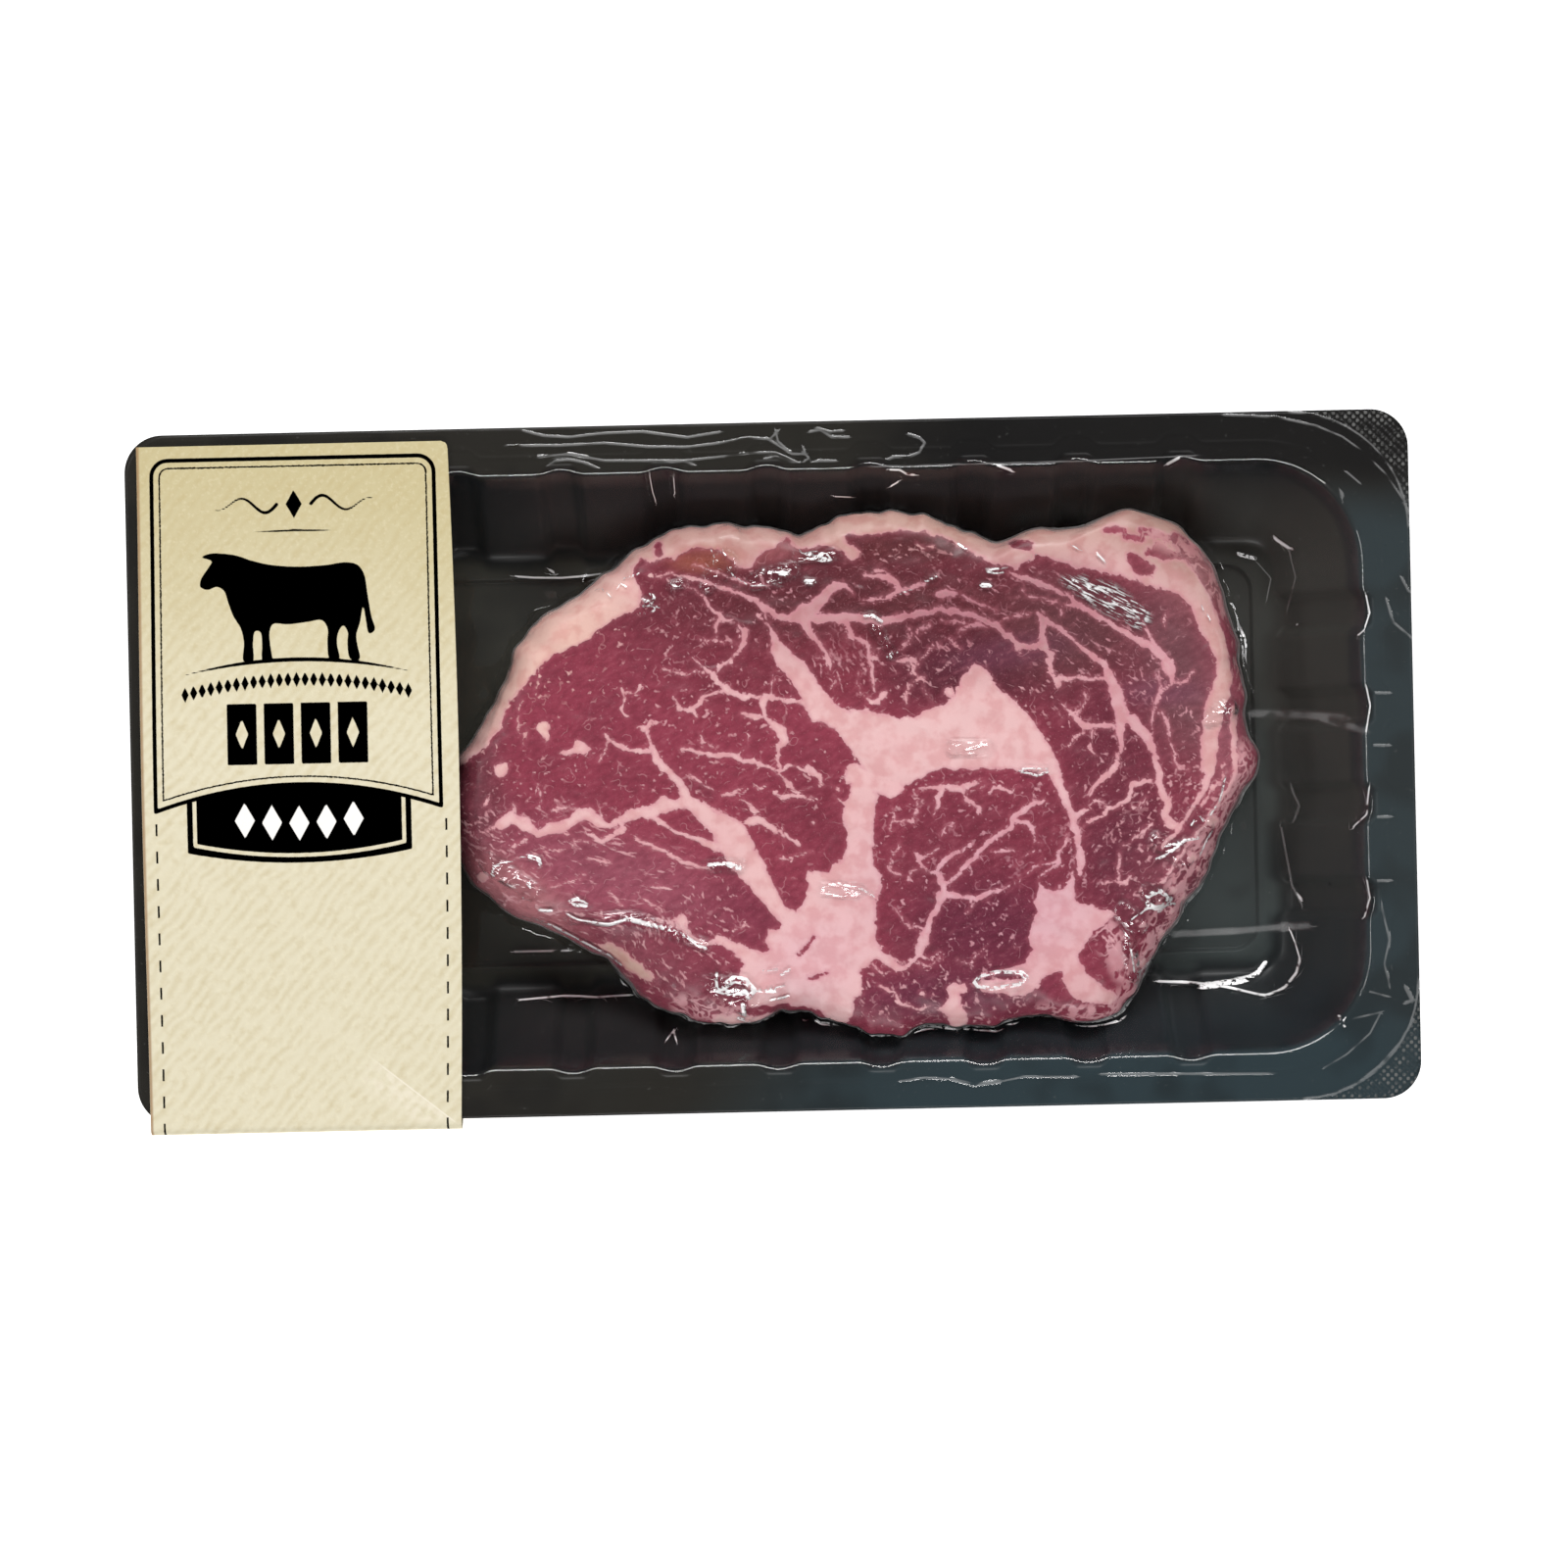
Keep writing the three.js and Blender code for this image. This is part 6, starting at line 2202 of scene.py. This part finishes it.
@dataclass
class CardBand:
    """The card strip: plain end on the far flange, folded over the near one and tucked under the tray."""

    tray: TrayForm
    left: float = -132.3
    right: float = -67.0
    bow: float = 1.3
    bed: float = 0.42
    rise: float = 2.05
    thickness: float = 0.36
    plain_end: float = 70.0
    fold: float = -74.3
    fold_radius: float = 1.2
    tuck: tuple[float, float, float] = (-48.6, 0.45, -43.2)
    corner: float = 1.3
    print_lift: float = 0.03
    print_inset: float = 0.04

    def path(self, flat_steps: int, bend_steps: int, slope_steps: int) -> Array:
        """The band's underside seen from its end: a gentle arch, the fold, the slope and the tucked end.

        Args:
            flat_steps: Steps over the tray.
            bend_steps: Steps round the fold.
            slope_steps: Steps down the slope.

        Returns:
            Points as (count, 2) of y and z.
        """
        turn_y = self.fold + self.fold_radius
        bed = self.tray.height + self.bed
        t = np.linspace(0.0, 1.0, flat_steps + 1)
        flat = np.stack([self.plain_end + (turn_y - self.plain_end) * t,
                         bed + self.rise * np.sin(math.pi * t) ** 2], axis=1)
        tuck_y, tuck_z, end = self.tuck
        slope = math.atan2(bed - tuck_z, tuck_y - self.fold)
        turn = np.linspace(0.0, math.pi - slope, bend_steps + 1)[1:]
        bend = np.stack([turn_y - self.fold_radius * np.sin(turn),
                         bed - self.fold_radius * (1.0 - np.cos(turn))], axis=1)
        down = np.linspace(bend[-1], [tuck_y, tuck_z], slope_steps + 1)[1:]
        return np.concatenate([flat, bend, down, [[tuck_y + 1.5, tuck_z], [end, tuck_z]]])

    def edges(self, y: Array) -> tuple[Array, Array]:
        """The band's edges: the right one bows out, and it is rounded off at the plain end.

        Args:
            y: Places along the band.

        Returns:
            The left and the right edge's X at each.
        """
        bow = self.bow * np.maximum(np.cos(y / self.tray.half[1] * QUARTER_TURN), 0.0)
        past = np.clip((y - (self.plain_end - self.corner)) / self.corner, 0.0, 1.0)
        cut = self.corner * (1.0 - np.sqrt(1.0 - past * past))
        return self.left + 0.0 * y, self.right + bow - cut

    def grid(self, path: Array, lift: float, columns: int, inset: float) -> Array:
        """The band's surface at a height above its underside, as a grid of points.

        Every row is a place along the path, moved out along the path's normal, and every column a share
        of the way from the left edge to the right one.

        Args:
            path: The underside's points.
            lift: How far out from it.
            columns: Steps across.
            inset: How far in from the edges.

        Returns:
            Points as (rows, columns, 3).
        """
        way = np.gradient(path, axis=0)
        way /= np.linalg.norm(way, axis=1, keepdims=True)
        out = path + lift * np.stack([way[:, 1], -way[:, 0]], axis=1)
        left, right = self.edges(path[:, 0])
        share = np.linspace(0.0, 1.0, columns + 1)
        x = (left + inset)[:, None] * (1.0 - share) + (right - inset)[:, None] * share
        y, z = (np.repeat(out[:, k:k + 1], columns + 1, axis=1) for k in (0, 1))
        return np.stack([x, y, z], axis=-1)

    def build(self) -> list[bpy.types.Object]:
        """Makes the strip of card, and the printed face that lies on its outer side.

        Returns:
            The pieces.
        """
        path = self.path(90, 10, 16)
        upper, lower = self.grid(path, self.thickness, 40, 0.0), self.grid(path, 0.0, 40, 0.0)
        rows, columns = upper.shape[:2]
        edge = border(rows, columns)
        after, count = np.roll(edge, -1), rows * columns
        rim = np.stack([edge, after, after + count, edge + count], axis=1)
        points = np.concatenate([upper.reshape(-1, 3), lower.reshape(-1, 3)])
        faces = [grid_faces(rows, columns), grid_faces(rows, columns, start=count)[:, ::-1], rim]
        strip = make_piece("card_strip", Surface(points, faces), CardFinish(False).build(), Slot.CARD,
                           "card_band")
        # The print ends one step down the slope.
        outer = self.path(408, 12, 6)[:-7]
        face = self.grid(outer, self.thickness + self.print_lift, 196, self.print_inset)
        flat = face.reshape(-1, 3)
        left, right = self.edges(flat[:, 1])
        marks = CardPrint().marks(flat[:, :2], left, right)
        surface = Surface(flat, [grid_faces(*face.shape[:2])], marks)
        return [strip, make_piece("card_print", surface, CardFinish(True).build(), Slot.CARD,
                                  "card_band")]


# Floor, light and camera


@dataclass
class Studio:
    """A white floor, soft strip lights on both long sides, and a camera straight above the pack."""

    image: float = 1600.0
    millimetres_per_pixel: float = 0.2061
    turn: float = 1.25
    aim: tuple[float, float] = (2.27, -3.64)
    height: float = 700.0
    sensor: float = 36.0
    floor_half: float = 3.0
    floor_height: float = -0.0002
    world: float = 0.12
    lights: tuple[tuple[str, tuple[float, float, float], tuple[float, float], float], ...] = (
        ("far_strip", (0.05, 0.8, 0.66), (0.9, 0.3), 9.6),
        ("near_strip", (-0.1, -0.8, 0.62), (0.8, 0.2), 5.8),
        ("right_strip", (0.85, 0.1, 0.6), (0.7, 0.1), 2.2),
        ("left_strip", (-0.8, 0.1, 0.6), (0.7, 0.1), 2.2),
    )

    def floor(self) -> bpy.types.Object:
        """Lays the floor just below the tray, white enough to show no shadow.

        Returns:
            The floor.
        """
        graph = Graph("white_floor")
        shader = graph.add("ShaderNodeBsdfPrincipled", None, {
            "Base Color": shade(250, 250, 250), "Roughness": 0.9, "Emission Color": shade(255, 255, 255),
            "Emission Strength": 0.55})
        mesh = bpy.data.meshes.new("floor")
        half = self.floor_half
        corners = [(x * half, y * half, self.floor_height) for x, y in ((-1, -1), (1, -1), (1, 1), (-1, 1))]
        mesh.from_pydata(corners, [], [(0, 1, 2, 3)])
        mesh.materials.append(graph.finish(shader))
        floor = bpy.data.objects.new("floor", mesh)
        bpy.context.scene.collection.objects.link(floor)
        return floor

    def light(self) -> None:
        """Sets the world's pale light and hangs the strips, each turned to the pack."""
        scene = bpy.context.scene
        scene.view_settings.view_transform = "Standard"
        scene.world = scene.world or bpy.data.worlds.new("studio")
        scene.world.use_nodes = True
        background = scene.world.node_tree.nodes["Background"]
        background.inputs["Color"].default_value = (1.0, 1.0, 1.0, 1.0)
        background.inputs["Strength"].default_value = self.world
        for name, place, size, power in self.lights:
            lamp = bpy.data.lights.new(name, "AREA")
            lamp.shape = "RECTANGLE"
            lamp.size, lamp.size_y = size
            lamp.energy = power
            holder = bpy.data.objects.new(name, lamp)
            away = np.array(place)
            holder.location = place
            tilt = math.atan2(math.hypot(*away[:2]), away[2])
            holder.rotation_euler = (tilt, 0.0, math.atan2(away[1], away[0]) + QUARTER_TURN)
            scene.collection.objects.link(holder)

    def camera(self, tray: TrayForm) -> None:
        """Hangs the camera over its aim, turned so that the tray lies a little anticlockwise.

        Args:
            tray: The tray's form, over which it hangs.
        """
        data = bpy.data.cameras.new("camera")
        data.sensor_width = self.sensor
        data.lens = self.sensor * self.height / (self.image * self.millimetres_per_pixel)
        holder = bpy.data.objects.new("camera", data)
        holder.location = np.array([*self.aim, self.height + tray.height]) * METRES
        holder.rotation_euler = (0.0, 0.0, -math.radians(self.turn))
        bpy.context.scene.collection.objects.link(holder)
        bpy.context.scene.camera = holder


def main() -> None:
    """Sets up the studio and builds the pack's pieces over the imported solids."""
    logging.basicConfig(level=logging.INFO, format="%(name)s: %(message)s")
    _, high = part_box("tray")
    tray = TrayForm(half=np.array([high.x, high.y]) / METRES, height=high.z / METRES)
    steak = SteakForm(tray)
    studio = Studio()
    studio.camera(tray)
    studio.light()
    studio.floor()
    Tray(tray).build()
    Steak(steak, Marbling()).build()
    SkinFilm(steak).build()
    CardBand(tray).build()


if __name__ == "__main__":
    main()
